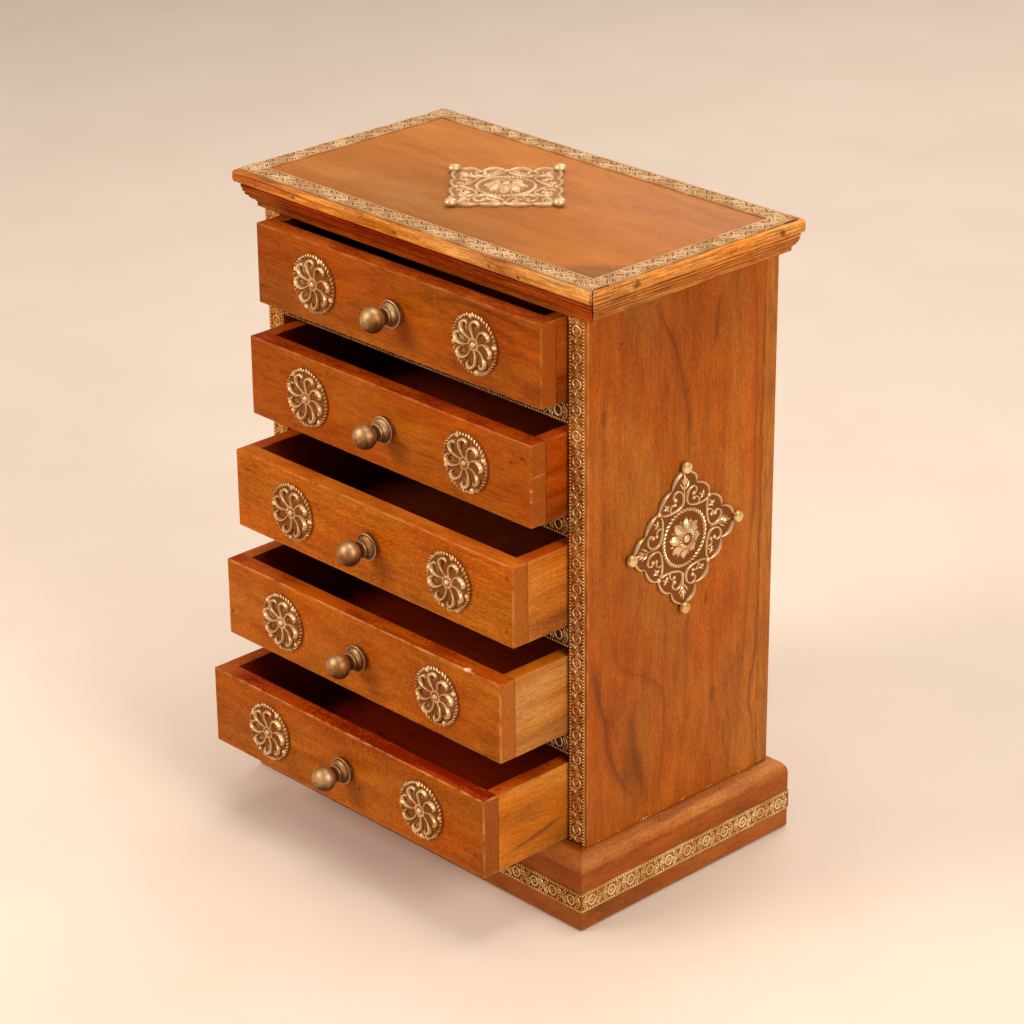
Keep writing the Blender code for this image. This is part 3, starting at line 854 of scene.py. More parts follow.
sideSpots = [((102.8, 22.4, 82.5), (3.0, 2.4, 5.0), 0.45), ((102.8, 17.2, 133.0), (3.0, 1.6, 4.0), 0.42),
             ((102.8, -47.4, 236.0), (3.0, 1.8, 5.0), 0.42), ((102.8, -36.9, 267.3), (2.0, 0.8, 0.8), 0.8),
             ((102.8, -29.0, 66.0), (3.0, 9.0, 13.0), 0.34), ((102.8, 2.0, 66.0), (3.0, 3.0, 12.0), 0.20),
             ((102.8, -40.0, 100.0), (3.0, 7.0, 16.0), 0.22), ((102.8, 30.0, 60.0), (3.0, 1.2, 9.0), 0.25),
             # painted shadow under the moulding
             ((102.8, -6.0, 292.0), (9.0, 70.0, 70.0), 0.30),
             ((102.8, 64.0, 150.0), (9.0, 30.0, 200.0), 0.90, (1.42, 1.42, 1.25), 0.0),
             ((102.8, -5.0, 40.0), (9.0, 48.0, 36.0), 0.90, (0.97, 0.86, 0.35), 0.2)]

sideLook = {
    "grain": "z", "ringGap": 11.0, "wander": 34.0, "figure": 0.08, "fibre": 0.18, "speckle": 0.30,
    "pore": 0.18, "fleck": 0.25, "streak": 0.14, "chatter": 0.01, "body": (0.365, 0.087, 0.0062),
    "edgeWear": 0.6,
}
sideWoodRight = woodFinish("sideWoodRight", pith=(90.0, -30.0), seed=3.0, lineAxis=1, lines=rightSideLines,
                           spots=sideSpots, glueBelow=35.7, **sideLook)
sideWoodLeft = woodFinish("sideWoodLeft", pith=(-90.0, 20.0), seed=5.5,
                          **{**sideLook, "figure": 0.3, "streak": 0.3})
backWood = woodFinish("backWood", grain="z", pith=(-40.0, 140.0), ringGap=9.0, seed=21.0, edgeWear=0.3,
                      body=(0.40, 0.120, 0.014), streak=0.22, pore=0.3, tint=0.5)
plinthLook = {
    "tint": 0.5, "rubSheenTone": (1.48, 2.05, 7.0), "wander": 12.0, "figure": 0.12, "broad": 0.40, "mottle": 0.32,
    "fibre": 0.18, "fleck": 0.30, "body": (0.335, 0.078, 0.0050), "gloss": 0.14, "roughness": 0.40,
    "streak": 0.2, "pore": 0.25, "grooveTone": (0.5, 0.36, 0.4),
}
plinthFrontWood = woodFinish("plinthFrontWood", grain="x", pith=(60.0, -30.0), seed=8.0, **plinthLook)
plinthSideWood = woodFinish("plinthSideWood", grain="y", pith=(-40.0, 160.0), seed=9.5, **plinthLook)
dividerWood = woodFinish("dividerWood", grain="x", pith=(30.0, 90.0), seed=13.0)


def plinthSection():
    # in from the face, up from the floor, how much painted shade lies on it, how much painted sheen it has
    s = caseSet
    r, top, wide, dark = s["plinthRound"], s["plinthHigh"], s["plinthWide"], s["plinthLedgeShade"]
    edge = [(wide, 0.0)] + s["plinthFoot"] + [(0.0, s["plinthFlat"])]
    section = [(inset, rise, 0.0, 0.0) for inset, rise in edge]
    for k in range(s["roundSteps"] + 1):
        turn = math.pi / 2 * k / s["roundSteps"]
        # painted sheen, brightest halfway round the rounded top edge
        rubbed = max(0.0, math.sin(2 * turn)) ** s["sheenRound"]
        section.append((r - r * math.cos(turn), top - r + r * math.sin(turn), 0.0, rubbed))
    # painted shade on the flat top beside the body
    return section + [(r + s["plinthLedgeShadeFrom"], top, dark, 0.0), (wide, top, dark, 0.0)]


def mitred(section, place, count, rng=None, waver=0.0, ragged=0.0, shadeUnderNose=0.0):
    # a length of moulding, swept along one side of the chest; waver bends it, ragged tears its ends and
    # the last argument paints shade on all of it below the nose, where the nose overhangs
    s = topSet
    shape = newShape()
    rings = []
    bendFrom, bendTo = s["bend"]
    for k in range(count + 1):
        ring = []
        lift = rng.uniform(-1, 1) * waver if rng and 0 < k < count else 0.0
        for inset, rise, *_ in section:
            torn = 0.0
            if rng and k in (0, count):
                torn = rng.uniform(0, 1) * ragged * (s["tear"] - rise / s["high"])
            ring.append(place(k / count, inset + (lift if bendFrom < inset < bendTo else 0), rise, torn))
        rings.append(ring)
    # painted shade: each recess keeps its own share, and on the front everything below the nose is shaded
    grooveShades = [max(dark, shadeUnderNose * min(1.0, max(0.0, (s["nose"] - rise) * s["noseShadeRise"])))
               for _, rise, dark, _ in section]
    levels = loft(shape, rings, [grooveShades] * (count + 1), "groove")
    rubbed = shape.verts.layers.float["rubbed"]
    for level in levels:
        for vert, point in zip(level, section):
            vert[rubbed] = point[3]
    return shape


def buildCase():
    s = caseSet
    halfX, halfY, _ = nodeBox("plinth")[1]
    section = plinthSection()

    for name, onX, sign, wood in (("Front", True, -1, plinthFrontWood), ("Back", True, 1, plinthFrontWood),
                                  ("Left", False, -1, plinthSideWood), ("Right", False, 1, plinthSideWood)):
        def place(t, inset, rise, torn):
            reach = (halfX if onX else halfY) - inset - s["plinthMitre"] - torn
            along, out = -reach + 2 * reach * t, sign * ((halfY if onX else halfX) - inset)
            return (along, out, rise) if onX else (out, along, rise)

        length = mitred(section, place, s["plinthSteps"])
        newPiece("plinth" + name, length, wood, "case", "plinth_wood", ["plinth"])
    coreX, coreY = (half - s["plinthWide"] - s["coreGap"] for half in (halfX, halfY))
    coreTop = s["plinthHigh"] - s["coreGap"]
    core = board((-coreX, -coreY, s["coreFoot"]), (coreX, coreY, coreTop), s["coreSoft"])
    newPiece("plinthCore", core, plinthFrontWood, "case", "plinth_wood", ["plinth"])

    for side, wood in (("left", sideWoodLeft), ("right", sideWoodRight)):
        low, high = nodeBox("side_" + side)
        low[2] -= s["sideSunk"]
        newPiece("sideBoard_" + side, board(low, high, s["sideSoft"], 3, 2), wood, "case", "side_wood",
                 ["side_" + side])
    low, high = nodeBox("back_panel")
    newPiece("backBoard", board(low, high, s["backSoft"], 3, 2), backWood, "case", "back_wood",
             ["back_panel"])
    for number in range(1, 5):
        node = "divider_%d" % number
        low, high = nodeBox(node)
        newPiece("dividerBoard_%d" % number, board(low, high, s["dividerSoft"]), dividerWood, "case",
                 "divider_wood", [node])


# top board and moulding


topSet = {
    # painted shade below the moulding nose: its strength, the height of the nose and how fast it fades are
    # set here
    "soft": 0.4, "mitre": 0.18, "waver": 0.16, "ragged": 0.50, "shadeUnderNose": 0.86, "nose": 10.4, "drop": 1.2,
    "dropUnder": 10.0, "frontSteps": 24, "sideSteps": 18, "sharp": 24.0, "seed": 5, "bend": (0.2, 8.0),
    "tear": 1.6, "high": 16.0, "noseShadeRise": 2.0,
}
mouldingSection = [  # in from the edge, up from the underside, how much painted shade lies in it, how much it is rubbed and painted with sheen
    (9.0, 16.0, 0.0, 0.0), (2.0, 16.0, 0.0, 0.05), (1.2, 15.85, 0.0, 0.15), (0.5, 15.4, 0.0, 0.3),
    (0.12, 14.7, 0.0, 0.4), (0.0, 14.0, 0.0, 0.35), (0.0, 12.2, 0.0, 0.2), (0.08, 11.2, 0.0, 0.2),
    (0.38, 10.5, 0.0, 0.1), (0.95, 10.15, 0.2, 0.0), (1.75, 10.0, 0.5, 0.0), (2.3, 9.75, 0.9, 0.0),
    (2.9, 9.6, 1.0, 0.0), (2.9, 9.15, 0.9, 0.0), (2.5, 8.9, 0.25, 0.1), (2.45, 8.3, 0.0, 0.2),
    (2.6, 7.9, 0.25, 0.0), (3.1, 7.75, 0.95, 0.0), (3.15, 7.3, 0.95, 0.0), (2.85, 7.1, 0.3, 0.0),
    (2.95, 6.5, 0.1, 0.1), (3.2, 6.2, 0.35, 0.0), (3.75, 6.1, 0.95, 0.0), (3.8, 5.65, 0.95, 0.0),
    (3.6, 5.45, 0.35, 0.0), (3.85, 4.9, 0.2, 0.0), (4.3, 4.6, 0.4, 0.0), (4.85, 4.55, 1.0, 0.0),
    (5.0, 4.1, 1.0, 0.0), (5.0, 3.9, 0.5, 0.0), (5.5, 3.3, 0.4, 0.0), (6.2, 2.9, 0.5, 0.0),
    (6.9, 2.85, 1.0, 0.0), (7.05, 2.45, 1.0, 0.0), (6.9, 2.2, 0.4, 0.0), (7.6, 2.05, 0.5, 0.0),
    (7.7, 0.0, 0.6, 0.0), (9.0, 0.0, 0.6, 0.0),
]

topWood = woodFinish(
    "topWood", grain="x", pith=(-60.0, 330.0), ringGap=13.0, wander=46.0, figure=0.08, seed=31.0, broad=0.30,
    mottle=0.12, fibre=0.08, speckle=0.10, pore=0.08, streak=0.10, chatter=0.0, roughness=0.45,
    body=(0.378, 0.119, 0.0190), tint=0.18,
    # painted sheen over the rear of the top
    spots=[((-80.0, 90.0, 300.0), (170.0, 100.0, 20.0), 1.0, (1.42, 1.55, 1.70), 0.0),
           # painted shade over the front left of the top
           ((-25.0, -52.0, 300.0), (85.0, 50.0, 20.0), 1.0, (0.76, 0.82, 1.10), 0.0),
           ((106.0, -58.0, 300.0), (23.0, 24.0, 9.0), 0.68, (0.48, 0.56, 1.1), 0.85),
           ((14.0, 46.0, 300.0), (2.0, 1.4, 3.0), 0.3), ((-70.0, 20.0, 300.0), (2.2, 1.2, 3.0), 0.25)])
mouldingLook = {"ringGap": 4.0, "wander": 9.0, "figure": 0.30, "broad": 0.60, "mottle": 0.45, "fibre": 0.95,
                "speckle": 0.30, "streak": 0.42, "streakFrom": 0.60, "edgeWear": 0.2, "gloss": 0.12}
mouldingFrontWood = woodFinish(
    "mouldingFrontWood", grain="x", pith=(-90.0, 270.0), seed=41.0,
    spots=[((-5.5, -65.9, 296.5), (2.2, 4.0, 1.1), 0.85), ((53.2, -65.9, 296.6), (1.2, 4.0, 1.3), 0.85),
           ((70.9, -65.9, 295.9), (1.2, 4.0, 0.8), 0.9), ((-71.9, -65.9, 296.6), (1.8, 4.0, 1.0), 0.75),
           ((-112.0, -65.9, 299.0), (60.0, 12.0, 8.0), 0.85, (0.56, 0.36, 0.30), 0.25),
           ((-108.0, -62.0, 288.0), (45.0, 14.0, 9.0), 0.9, (1.05, 1.75, 1.1), 0.2),
           # painted shadow under the nose
           ((-12.0, -64.0, 291.6), (80.0, 12.0, 3.4), 0.9, (0.60, 0.36, 0.30), 0.3),
           # painted shade along the top edge, against the overhead light
           ((0.0, -64.0, 300.3), (260.0, 4.0, 2.2), 1.0, (0.80, 0.85, 1.25), 0.4),
           # painted highlight on the middle of the nose
           ((22.0, -66.0, 297.2), (32.0, 6.0, 2.6), 0.8, (1.18, 1.45, 2.2), 0.2),
           ((-20.0, -66.0, 297.0), (24.0, 6.0, 4.0), 0.8, (0.72, 0.62, 0.42), 0.2),
           ((0.0, -60.0, 286.5), (300.0, 30.0, 7.0), 0.9, (1.10, 1.38, 0.30), 0.3),
           # painted shadow under the nose
           ((0.0, -66.0, 293.3), (300.0, 6.0, 2.4), 0.8, (0.74, 0.55, 0.35), 0.1),
           ((113.2, -66.2, 292.0), (1.3, 3.0, 9.5), 0.75)],
    grooveTone=(0.40, 0.050, 0.03), body=(0.60, 0.210, 0.024),
    **{**mouldingLook, "broad": 0.40, "fibre": 0.65, "streak": 0.30, "gloss": 0.03, "fleck": 0.05})
mouldingSideWood = woodFinish(
    "mouldingSideWood", grain="y", pith=(270.0, 60.0), seed=52.0,
    spots=[((114.3, -39.9, 297.2), (5.0, 3.6, 2.4), 0.8), ((114.3, 49.1, 297.2), (5.0, 2.2, 1.7), 0.8),
           ((114.3, -27.1, 293.0), (4.0, 1.1, 0.7), 0.8), ((-114.3, 12.0, 296.5), (5.0, 2.4, 1.6), 0.7)],
    grooveTone=(0.58, 0.46, 0.5), body=(0.50, 0.155, 0.0150), **mouldingLook)


def buildTop():
    s = topSet
    low, high = nodeBox("top_board")
    newPiece("topPanel", board(low, high, s["soft"]), topWood, "case", "top_wood", ["top_board"])

    _, front, under = nodeBox("moulding_front")[0]
    half, rear, _ = nodeBox("moulding_right")[1]
    rng = random.Random(s["seed"])

    def alongFront(t, inset, rise, torn):
        reach = half - inset - s["mitre"] - torn
        drop = s["drop"] * max(0.0, 1 - rise / s["dropUnder"])
        return (-reach + 2 * reach * t, front + inset, under + rise - drop)

    length = mitred(mouldingSection, alongFront, s["frontSteps"], rng, s["waver"], s["ragged"], s["shadeUnderNose"])
    newPiece("mouldingFront", length, mouldingFrontWood, "case", "moulding_wood", ["moulding_front"],
             s["sharp"])
    for side, sign in (("left", -1), ("right", 1)):
        def alongSide(t, inset, rise, torn):
            first = front + inset + s["mitre"] + torn
            return (sign * (half - inset), first + (rear - first) * t, under + rise)

        length = mitred(mouldingSection, alongSide, s["sideSteps"], rng, s["waver"], s["ragged"])
        newPiece("mouldingSide_" + side, length, mouldingSideWood, "case", "moulding_wood",
                 ["moulding_" + side], s["sharp"])


# pressed brass strip


stripSet = {
    "beadPitch": 1.52, "beadRadius": 0.55, "beadHeight": 0.60, "beadRow": 3.92,
    "motifPitch": 11.75, "ovalLong": 2.15, "ovalWide": 2.35, "wire": 0.48, "wireHeight": 0.55,
    "petalRoot": (0.45, 0.45), "petalTip": (2.75, 2.95), "petalWide": 0.80, "petalWire": 0.30,
    "petalHeight": 0.85, "petalSlim": 0.55,
    "button": (1.45, 0.26), "joint": (0.42, 0.36), "jointBack": 0.25,
    "leafRoot": (3.35, 0.55), "leafTip": 1.3, "leafSize": (0.30, 0.34),
    "pressFrom": 0.72, "pressTo": 1.08,    # how deep the motif is struck
    "end": 0.8, "waver": 0.05, "waverStep": 14.0, "field": 0.34, "halfWide": 4.75, "seat": 0.3,
    "bandIn": 0.9, "bandLap": 0.4, "topLift": 0.22, "topShort": 2.0, "foot": 0.1,
}
stripProfile = [  # across the strip, height above the wood
    (-4.75, 0.06), (-4.75, 0.34), (-4.62, 0.42), (-4.45, 0.36), (-3.30, 0.36), (-3.18, 0.44), (-3.04, 0.34),
    (3.04, 0.34), (3.18, 0.44), (3.30, 0.36), (4.45, 0.36), (4.62, 0.42), (4.75, 0.34), (4.75, 0.06),
]
stripRelief = [0.3, 0.5, 0.55, 0.15, 0.05, 0.25, 0.06, 0.06, 0.25, 0.05, 0.15, 0.55, 0.5, 0.3]
dividerBrass = brassFinish("dividerBrass", recess=(0.13, 0.025, 0.003), bright=(0.80, 0.50, 0.24),
                           warm=(0.62, 0.35, 0.13), low=0.50, high=0.90, metalHigh=0.55)
edgeBrass = brassFinish("edgeBrass", recess=(0.30, 0.074, 0.003), bright=(0.82, 0.52, 0.22),
                        warm=(0.62, 0.33, 0.085), low=0.15)
# a darker, redder copy of the plinth brass for the front run: painted shade under the lowest drawer
plinthFrontShadedBrass = brassFinish("plinthFrontShadedBrass", recess=(0.225, 0.050, 0.002), bright=(0.88, 0.60, 0.30),
                               warm=(0.66, 0.36, 0.10), low=0.15, metalHigh=0.45, patchy=0.5)
plinthBrass = brassFinish("plinthBrass", recess=(0.30, 0.098, 0.013), bright=(0.90, 0.66, 0.37),
                          warm=(0.66, 0.40, 0.155), low=0.15, metalHigh=0.45, patchy=0.5)
# a darker, duller copy of the strip brass for the top: painted shade against the overhead light
topShadedBrass = brassFinish("topShadedBrass", recess=(0.25, 0.090, 0.024), bright=(0.65, 0.435, 0.235),
                       warm=(0.45, 0.258, 0.113), low=0.15, metalHigh=0.25, roughHigh=0.55, patchy=0.5)


def stripMotif():
    s = stripSet
    shape = newShape()
    ring = []
    for k in range(17):
        angle = 2 * math.pi * k / 16
        ring.append(Vector((s["ovalLong"] * math.cos(angle), s["ovalWide"] * math.sin(angle))))
    rib(shape, ring, s["wire"], s["wireHeight"], 0.0, None, arc=4, dark=0.5)
    dome(shape, 0.0, 0.0, *s["button"], 0.0, segments=8, rows=2, dark=0.12, crest=0.5)
    half = s["motifPitch"] / 2
    root, tip = Vector(s["petalRoot"]), Vector(s["petalTip"])
    run = tip - root
    swell = Vector((-run.y, run.x)).normalized() * s["petalWide"]
    for flip in (-1, 1):
        for side in (-1, 1):
            # one open petal of the cross between two ovals
            path = []
            for k in range(11):
                turn = math.pi * (k / 5 - 1)
                along = 0.5 + 0.5 * math.cos(turn)
                width = s["petalSlim"] + (1 - s["petalSlim"]) * along
                spot = root + run * along + swell * (math.sin(turn) * width)
                path.append(Vector(((half - spot.x) * flip, spot.y * side)))
            rib(shape, path, s["petalWire"], s["wireHeight"] * s["petalHeight"], 0.0, None, arc=3, dark=0.4)
        dome(shape, (half - s["jointBack"]) * flip, 0.0, *s["joint"], 0.0, segments=6, rows=2, dark=0.3)
        back, out = s["leafRoot"]
        for side in (1, -1):
            leaf(shape, ((half - back) * flip, out * side), ((half - s["leafTip"]) * flip, 0.0),
                 *s["leafSize"], 0.0)
    return shape


def stripBead():
    s = stripSet
    shape = newShape()
    dome(shape, 0.0, 0.0, s["beadRadius"], s["beadHeight"], 0.0, segments=7, rows=2, dark=0.35)
    return shape


def ribbon(shape, start, finish, outward, lift, rng):
    # the flat pressed ribbon itself, a little uneven along its length
    run = finish - start
    across = outward.cross(run.normalized())
    count = max(2, int(run.length / stripSet["waverStep"]))
    rings = []
    for k in range(count + 1):
        rise = lift + rng.uniform(-1, 1) * stripSet["waver"]
        base = start + run * (k / count)
        rings.append([base + across * t + outward * (h + (rise if h > stripSet["foot"] else 0.0))
                      for t, h in stripProfile])
    loft(shape, rings, [stripRelief] * (count + 1))


def layStrip(name, runs, seed, brass, nodes):
    # each run: start, finish, direction it faces, extra lift
    s = stripSet
    rng = random.Random(seed)
    shape = newShape()
    lines = bpy.data.meshes.new("runs")
    points = []
    edges = []
    faces = []
    for start, finish, outward, lift in runs:
        start, finish, outward = Vector(start), Vector(finish), Vector(outward)
        ribbon(shape, start, finish, outward, lift, rng)
        step = (finish - start).normalized() * s["end"]
        height = outward * (lift + s["field"])
        edges.append((len(points), len(points) + 1))
        points += [(start + step + height) * mm, (finish - step + height) * mm]
        faces += [outward, outward]
    lines.from_pydata(points, edges, [])
    facing = lines.attributes.new("outward", "FLOAT_VECTOR", "POINT")
    for item, outward in zip(facing.data, faces):
        item.vector = outward
    motif = pattern("motif", stripMotif())
    bead = pattern("bead", stripBead())
    made = runTree(pressedStrip, lines, {
        "Motif": motif, "Bead": bead, "Motif Pitch": s["motifPitch"] * mm, "Bead Pitch": s["beadPitch"] * mm,
        "Bead Row": s["beadRow"] * mm, "Press From": s["pressFrom"], "Press To": s["pressTo"], "Seed": seed,
        "Metal": brass})
    pour(made, shape)
    bpy.data.meshes.remove(made)
    dropPattern(motif)
    dropPattern(bead)
    newPiece(name, shape, brass, "case", "strip_brass", nodes)


def buildStrips():
    s = stripSet
    forward = (0, -1, 0)
    for side, seed in (("left", 3), ("right", 4)):
        low, high = nodeBox("front_strip_" + side)
        x = (low[0] + high[0]) / 2
        face = high[1] + s["seat"]
        layStrip("frontStrip_" + side, [((x, face, low[2]), (x, face, high[2]), forward, 0.0)], seed,
                 edgeBrass, ["front_strip_" + side])
    edge = nodeBox("front_strip_right")[0][0]
    for number in range(1, 5):
        low, high = nodeBox("divider_%d" % number)
        z = (low[2] + high[2]) / 2
        layStrip("railStrip_%d" % number, [((-edge, low[1], z), (edge, low[1], z), forward, 0.0)],
                 10 + number, dividerBrass, [])

    low, high = nodeBox("plinth_band")
    x, y = high[0] - s["bandIn"], high[1] - s["bandIn"]
    farX, farY = x + s["bandLap"], y + s["bandLap"]
    z = (low[2] + high[2]) / 2
    layStrip("plinthStripFront", [((-farX, -y, z), (farX, -y, z), forward, 0.0)], 20, plinthFrontShadedBrass, [])
    layStrip("plinthStrip", [
        ((x, -farY, z), (x, farY, z), (1, 0, 0), 0.0),
        ((farX, y, z), (-farX, y, z), (0, 1, 0), 0.0),
        ((-x, farY, z), (-x, -farY, z), (-1, 0, 0), 0.0)], 21, plinthBrass, ["plinth_band"])

    (left, front, z), (right, rear, _) = nodeBox("top_border")
    z -= s["seat"]
    half, short, up = s["halfWide"], s["topShort"], (0, 0, 1)
    runs = [((left, y, z), (right, y, z), up, s["topLift"]) for y in (front + half, rear - half)]
    runs += [((x, front + short, z), (x, rear - short, z), up, 0.0) for x in (left + half, right - half)]
    layStrip("topStrip", runs, 31, topShadedBrass, ["top_border"])


# square ornament


ornamentSet = {
    "reach": 33.4, "scallop": 2.5, "plate": 0.9, "rimInset": 0.62, "rimWide": 0.74, "rimHigh": 1.55,
    "sunk": 0.12, "seat": 0.25, "rope": 13.0, "ropeCount": 44, "ropeSlant": 50.0, "ropeLift": 1.1,
    "petals": 8, "petalRoot": 5.0, "petalReach": 9.6, "petalHigh": 2.7, "petalFall": 1.5, "petalTurn": 0.69,
    "collar": 18, "nailRadius": 2.8, "nailHeight": 3.9, "endRise": 6.0, "scallopRound": 0.8,
    "scallopIn": 0.35, "diagonal": 0.7, "rimFrom": 0.03, "cornerFrom": 0.05, "scrollWire": (0.54, 1.35),
    "hookWire": (0.48, 1.15), "sprigLeaf": (0.55, 1.0), "sprigBud": (0.7, 1.1), "stemWire": (0.32, 0.5),
    "sideBud": (15.6, 15.6, 1.25, 1.2), "ropeSize": (2.7, 0.55, 0.9), "button": (2.0, 1.1, 2.6),
}
ornamentBrass = brassFinish("ornamentBrass", recess=(0.195, 0.056, 0.011), bright=(0.88, 0.62, 0.34),
                            warm=(0.74, 0.47, 0.22), metalHigh=0.7, roughHigh=0.34, high=0.80)
# a copy of the ornament brass for the top: highlights toned down and recesses lifted, painted light and shade
# that offsets the overhead light
topOrnamentLightShadeBrass = brassFinish("topOrnamentLightShadeBrass", recess=(0.34, 0.150, 0.055), bright=(0.68, 0.47, 0.27),
                               warm=(0.56, 0.35, 0.175), metalHigh=0.35, roughHigh=0.5)
nailBrass = brassFinish("nailBrass", recess=(0.16, 0.06, 0.015), bright=(0.90, 0.66, 0.31),
                        warm=(0.72, 0.46, 0.18), metalHigh=0.85, roughHigh=0.36, grit=0.15, high=0.9)
topNailBrass = brassFinish("topNailBrass", recess=(0.16, 0.06, 0.015), bright=(0.82, 0.62, 0.38),
                           warm=(0.66, 0.45, 0.24), metalHigh=0.5, roughHigh=0.42, grit=0.15)

# one quarter of the relief, its corner on the X axis
cornerScroll = [(19.4, 6.0), (20.6, 7.2), (22.6, 6.5), (23.1, 4.3), (21.6, 1.9), (18.5, 1.0), (15.9, 1.9),
                (14.6, 4.4), (14.0, 7.6), (13.9, 10.4), (14.2, 13.0), (15.0, 14.3)]
cornerHook = [(14.1, 8.6), (15.6, 9.0), (17.4, 8.0), (17.3, 6.0)]
cornerBuds = [  # place, radius, height, segments
    ((19.5, 5.8), 1.15, 1.2, 9), ((17.2, 5.9), 0.95, 1.05, 8)]
cornerSprig = (17.3, 11.2)
sprigLeaves = [(0.5, 2.3), (2.0, 2.1), (3.6, 2.4), (5.1, 2.1)]  # angle, length
cornerLeaves = [  # root, tip, width, height
    ((22.6, 0.6), (26.4, 2.9), 0.58, 1.0), ((24.8, 0.4), (28.2, 1.7), 0.45, 0.9)]
cornerStem = [(16.6, 0.0), (20.0, 0.0), (23.0, 0.0), (25.4, 0.0)]
tipLeaf = ((25.2, 0.0), (30.2, 0.0), 0.7, 0.95)

# the rest of the plate, as share or radius, height and relief
ropeBand = [(14.0, 0.7, 0.1), (13.8, 1.1, 0.2), (13.2, 1.35, 0.3), (12.6, 1.3, 0.3), (12.1, 1.05, 0.15),
            (11.9, 0.7, 0.1)]
flowerHeart = [(8.8, 0.8, 0.1), (8.0, 1.5, 0.15), (6.6, 2.4, 0.3), (5.4, 2.9, 0.45), (4.4, 3.2, 0.45),
               (3.0, 3.2, 0.3), (2.5, 2.7, 0.0), (0.4, 2.6, 0.0)]
flowerTip = ((6.9, 0.0), (9.1, 0.0), 0.42, 0.8, 1.0)  # root, tip, width, height, foot
flowerStamen = ((2.7, 0.0), (5.2, 0.0), 0.40, 0.75, 3.0)
petalWidths = [(0.0, 1.8), (0.2, 2.3), (0.4, 2.5), (0.55, 2.3), (0.7, 1.75), (0.85, 0.95), (1.0, 0.06)]
petalSection = [  # share of the width, rise, relief
    (-1.0, -0.7, 0.05), (-0.85, 0.0, 0.75), (-0.4, 0.35, 1.0), (0.0, 0.75, 0.85), (0.4, 0.35, 0.9),
    (0.85, 0.0, 0.7), (1.0, -0.7, 0.05)]


def outlineAt(along):
    s = ornamentSet
    ends = min(1.0, s["endRise"] * along, s["endRise"] * (1.0 - along))
    bulge = ends * s["scallop"] * (abs(math.sin(4 * math.pi * along)) ** s["scallopRound"] - s["scallopIn"])
    bulge = bulge * s["diagonal"]
    return Vector((s["reach"] * (1 - along) + bulge, s["reach"] * along + bulge))


def ornamentCorner():
    s = ornamentSet
    shape = newShape()
    base = s["plate"] - s["sunk"]
    scroll, hook = smoothPath(cornerScroll, 3), smoothPath(cornerHook, 3)
    sprigX, sprigY = cornerSprig
    for side in (-1, 1):
        def turned(points):
            return [Vector((x, y * side)) for x, y in points]

        for lobe in range(2):  # the scalloped rim
            path = []
            for k in range(11):
                along = (lobe + (s["rimFrom"] + (1 - 2 * s["rimFrom"]) * k / 10)) / 4
                if lobe == 0:
                    along = max(along, s["cornerFrom"])
                point = outlineAt(along)
                path.append(point - point.normalized() * s["rimInset"])
            rib(shape, turned(path), s["rimWide"], s["rimHigh"], base,
                lambda t: 0.25 + 0.75 * math.sin(math.pi * t) ** 0.8, arc=5, dark=0.25)
        rib(shape, turned(scroll), *s["scrollWire"], base, lambda t: 0.75 + 0.3 * math.sin(math.pi * t),
            arc=5, dark=0.1)
        rib(shape, turned(hook), *s["hookWire"], base, lambda _: 0.85, arc=5, dark=0.1)
        for (x, y), radius, height, segments in cornerBuds:
            dome(shape, x, y * side, radius, height, base, segments, rows=3, dark=0.6)
        for angle, length in sprigLeaves:
            tip = (sprigX + length * math.cos(angle), (sprigY + length * math.sin(angle)) * side)
            leaf(shape, (sprigX, sprigY * side), tip, *s["sprigLeaf"], base)
        dome(shape, sprigX, sprigY * side, *s["sprigBud"], base, segments=7, rows=2, dark=0.6)
        for root, tip, width, height in cornerLeaves:
            leaf(shape, *turned((root, tip)), width, height, base)
    dome(shape, *s["sideBud"], base, segments=9, rows=3, dark=0.6)
    leaf(shape, *tipLeaf, base)
    rib(shape, cornerStem, *s["stemWire"], base, None, arc=4, dark=0.4)
    return shape


def nailShape():
    s = ornamentSet
    r, h = s["nailRadius"], s["nailHeight"]
    nail = newShape()
    lathe(nail, [(r * 0.55, 0.2, 0.2), (r * 0.66, 0.8, 0.35), (r * 0.90, 1.2, 0.4), (r, 1.9, 0.6),
                 (r * 0.97, 2.6, 0.85), (r * 0.83, 3.3, 1.0), (r * 0.58, h - 0.45, 1.0),
                 (r * 0.25, h - 0.08, 1.0), (0.12, h, 1.0)], 22)
    nails = newShape()
    wheel(nails, nail, 4, s["reach"], 0.0, nailBrass)
    return nails


def ropeBead(long, wide, high, slant, base):
    shape = newShape()
    run = Vector((math.cos(slant), math.sin(slant)))
    path = [run * (long * (k / 5 - 0.5)) for k in range(6)]
    rib(shape, path, wide, high, base, lambda t: 0.35 + 0.65 * math.sin(math.pi * t), arc=4, dark=0.4)
    return shape


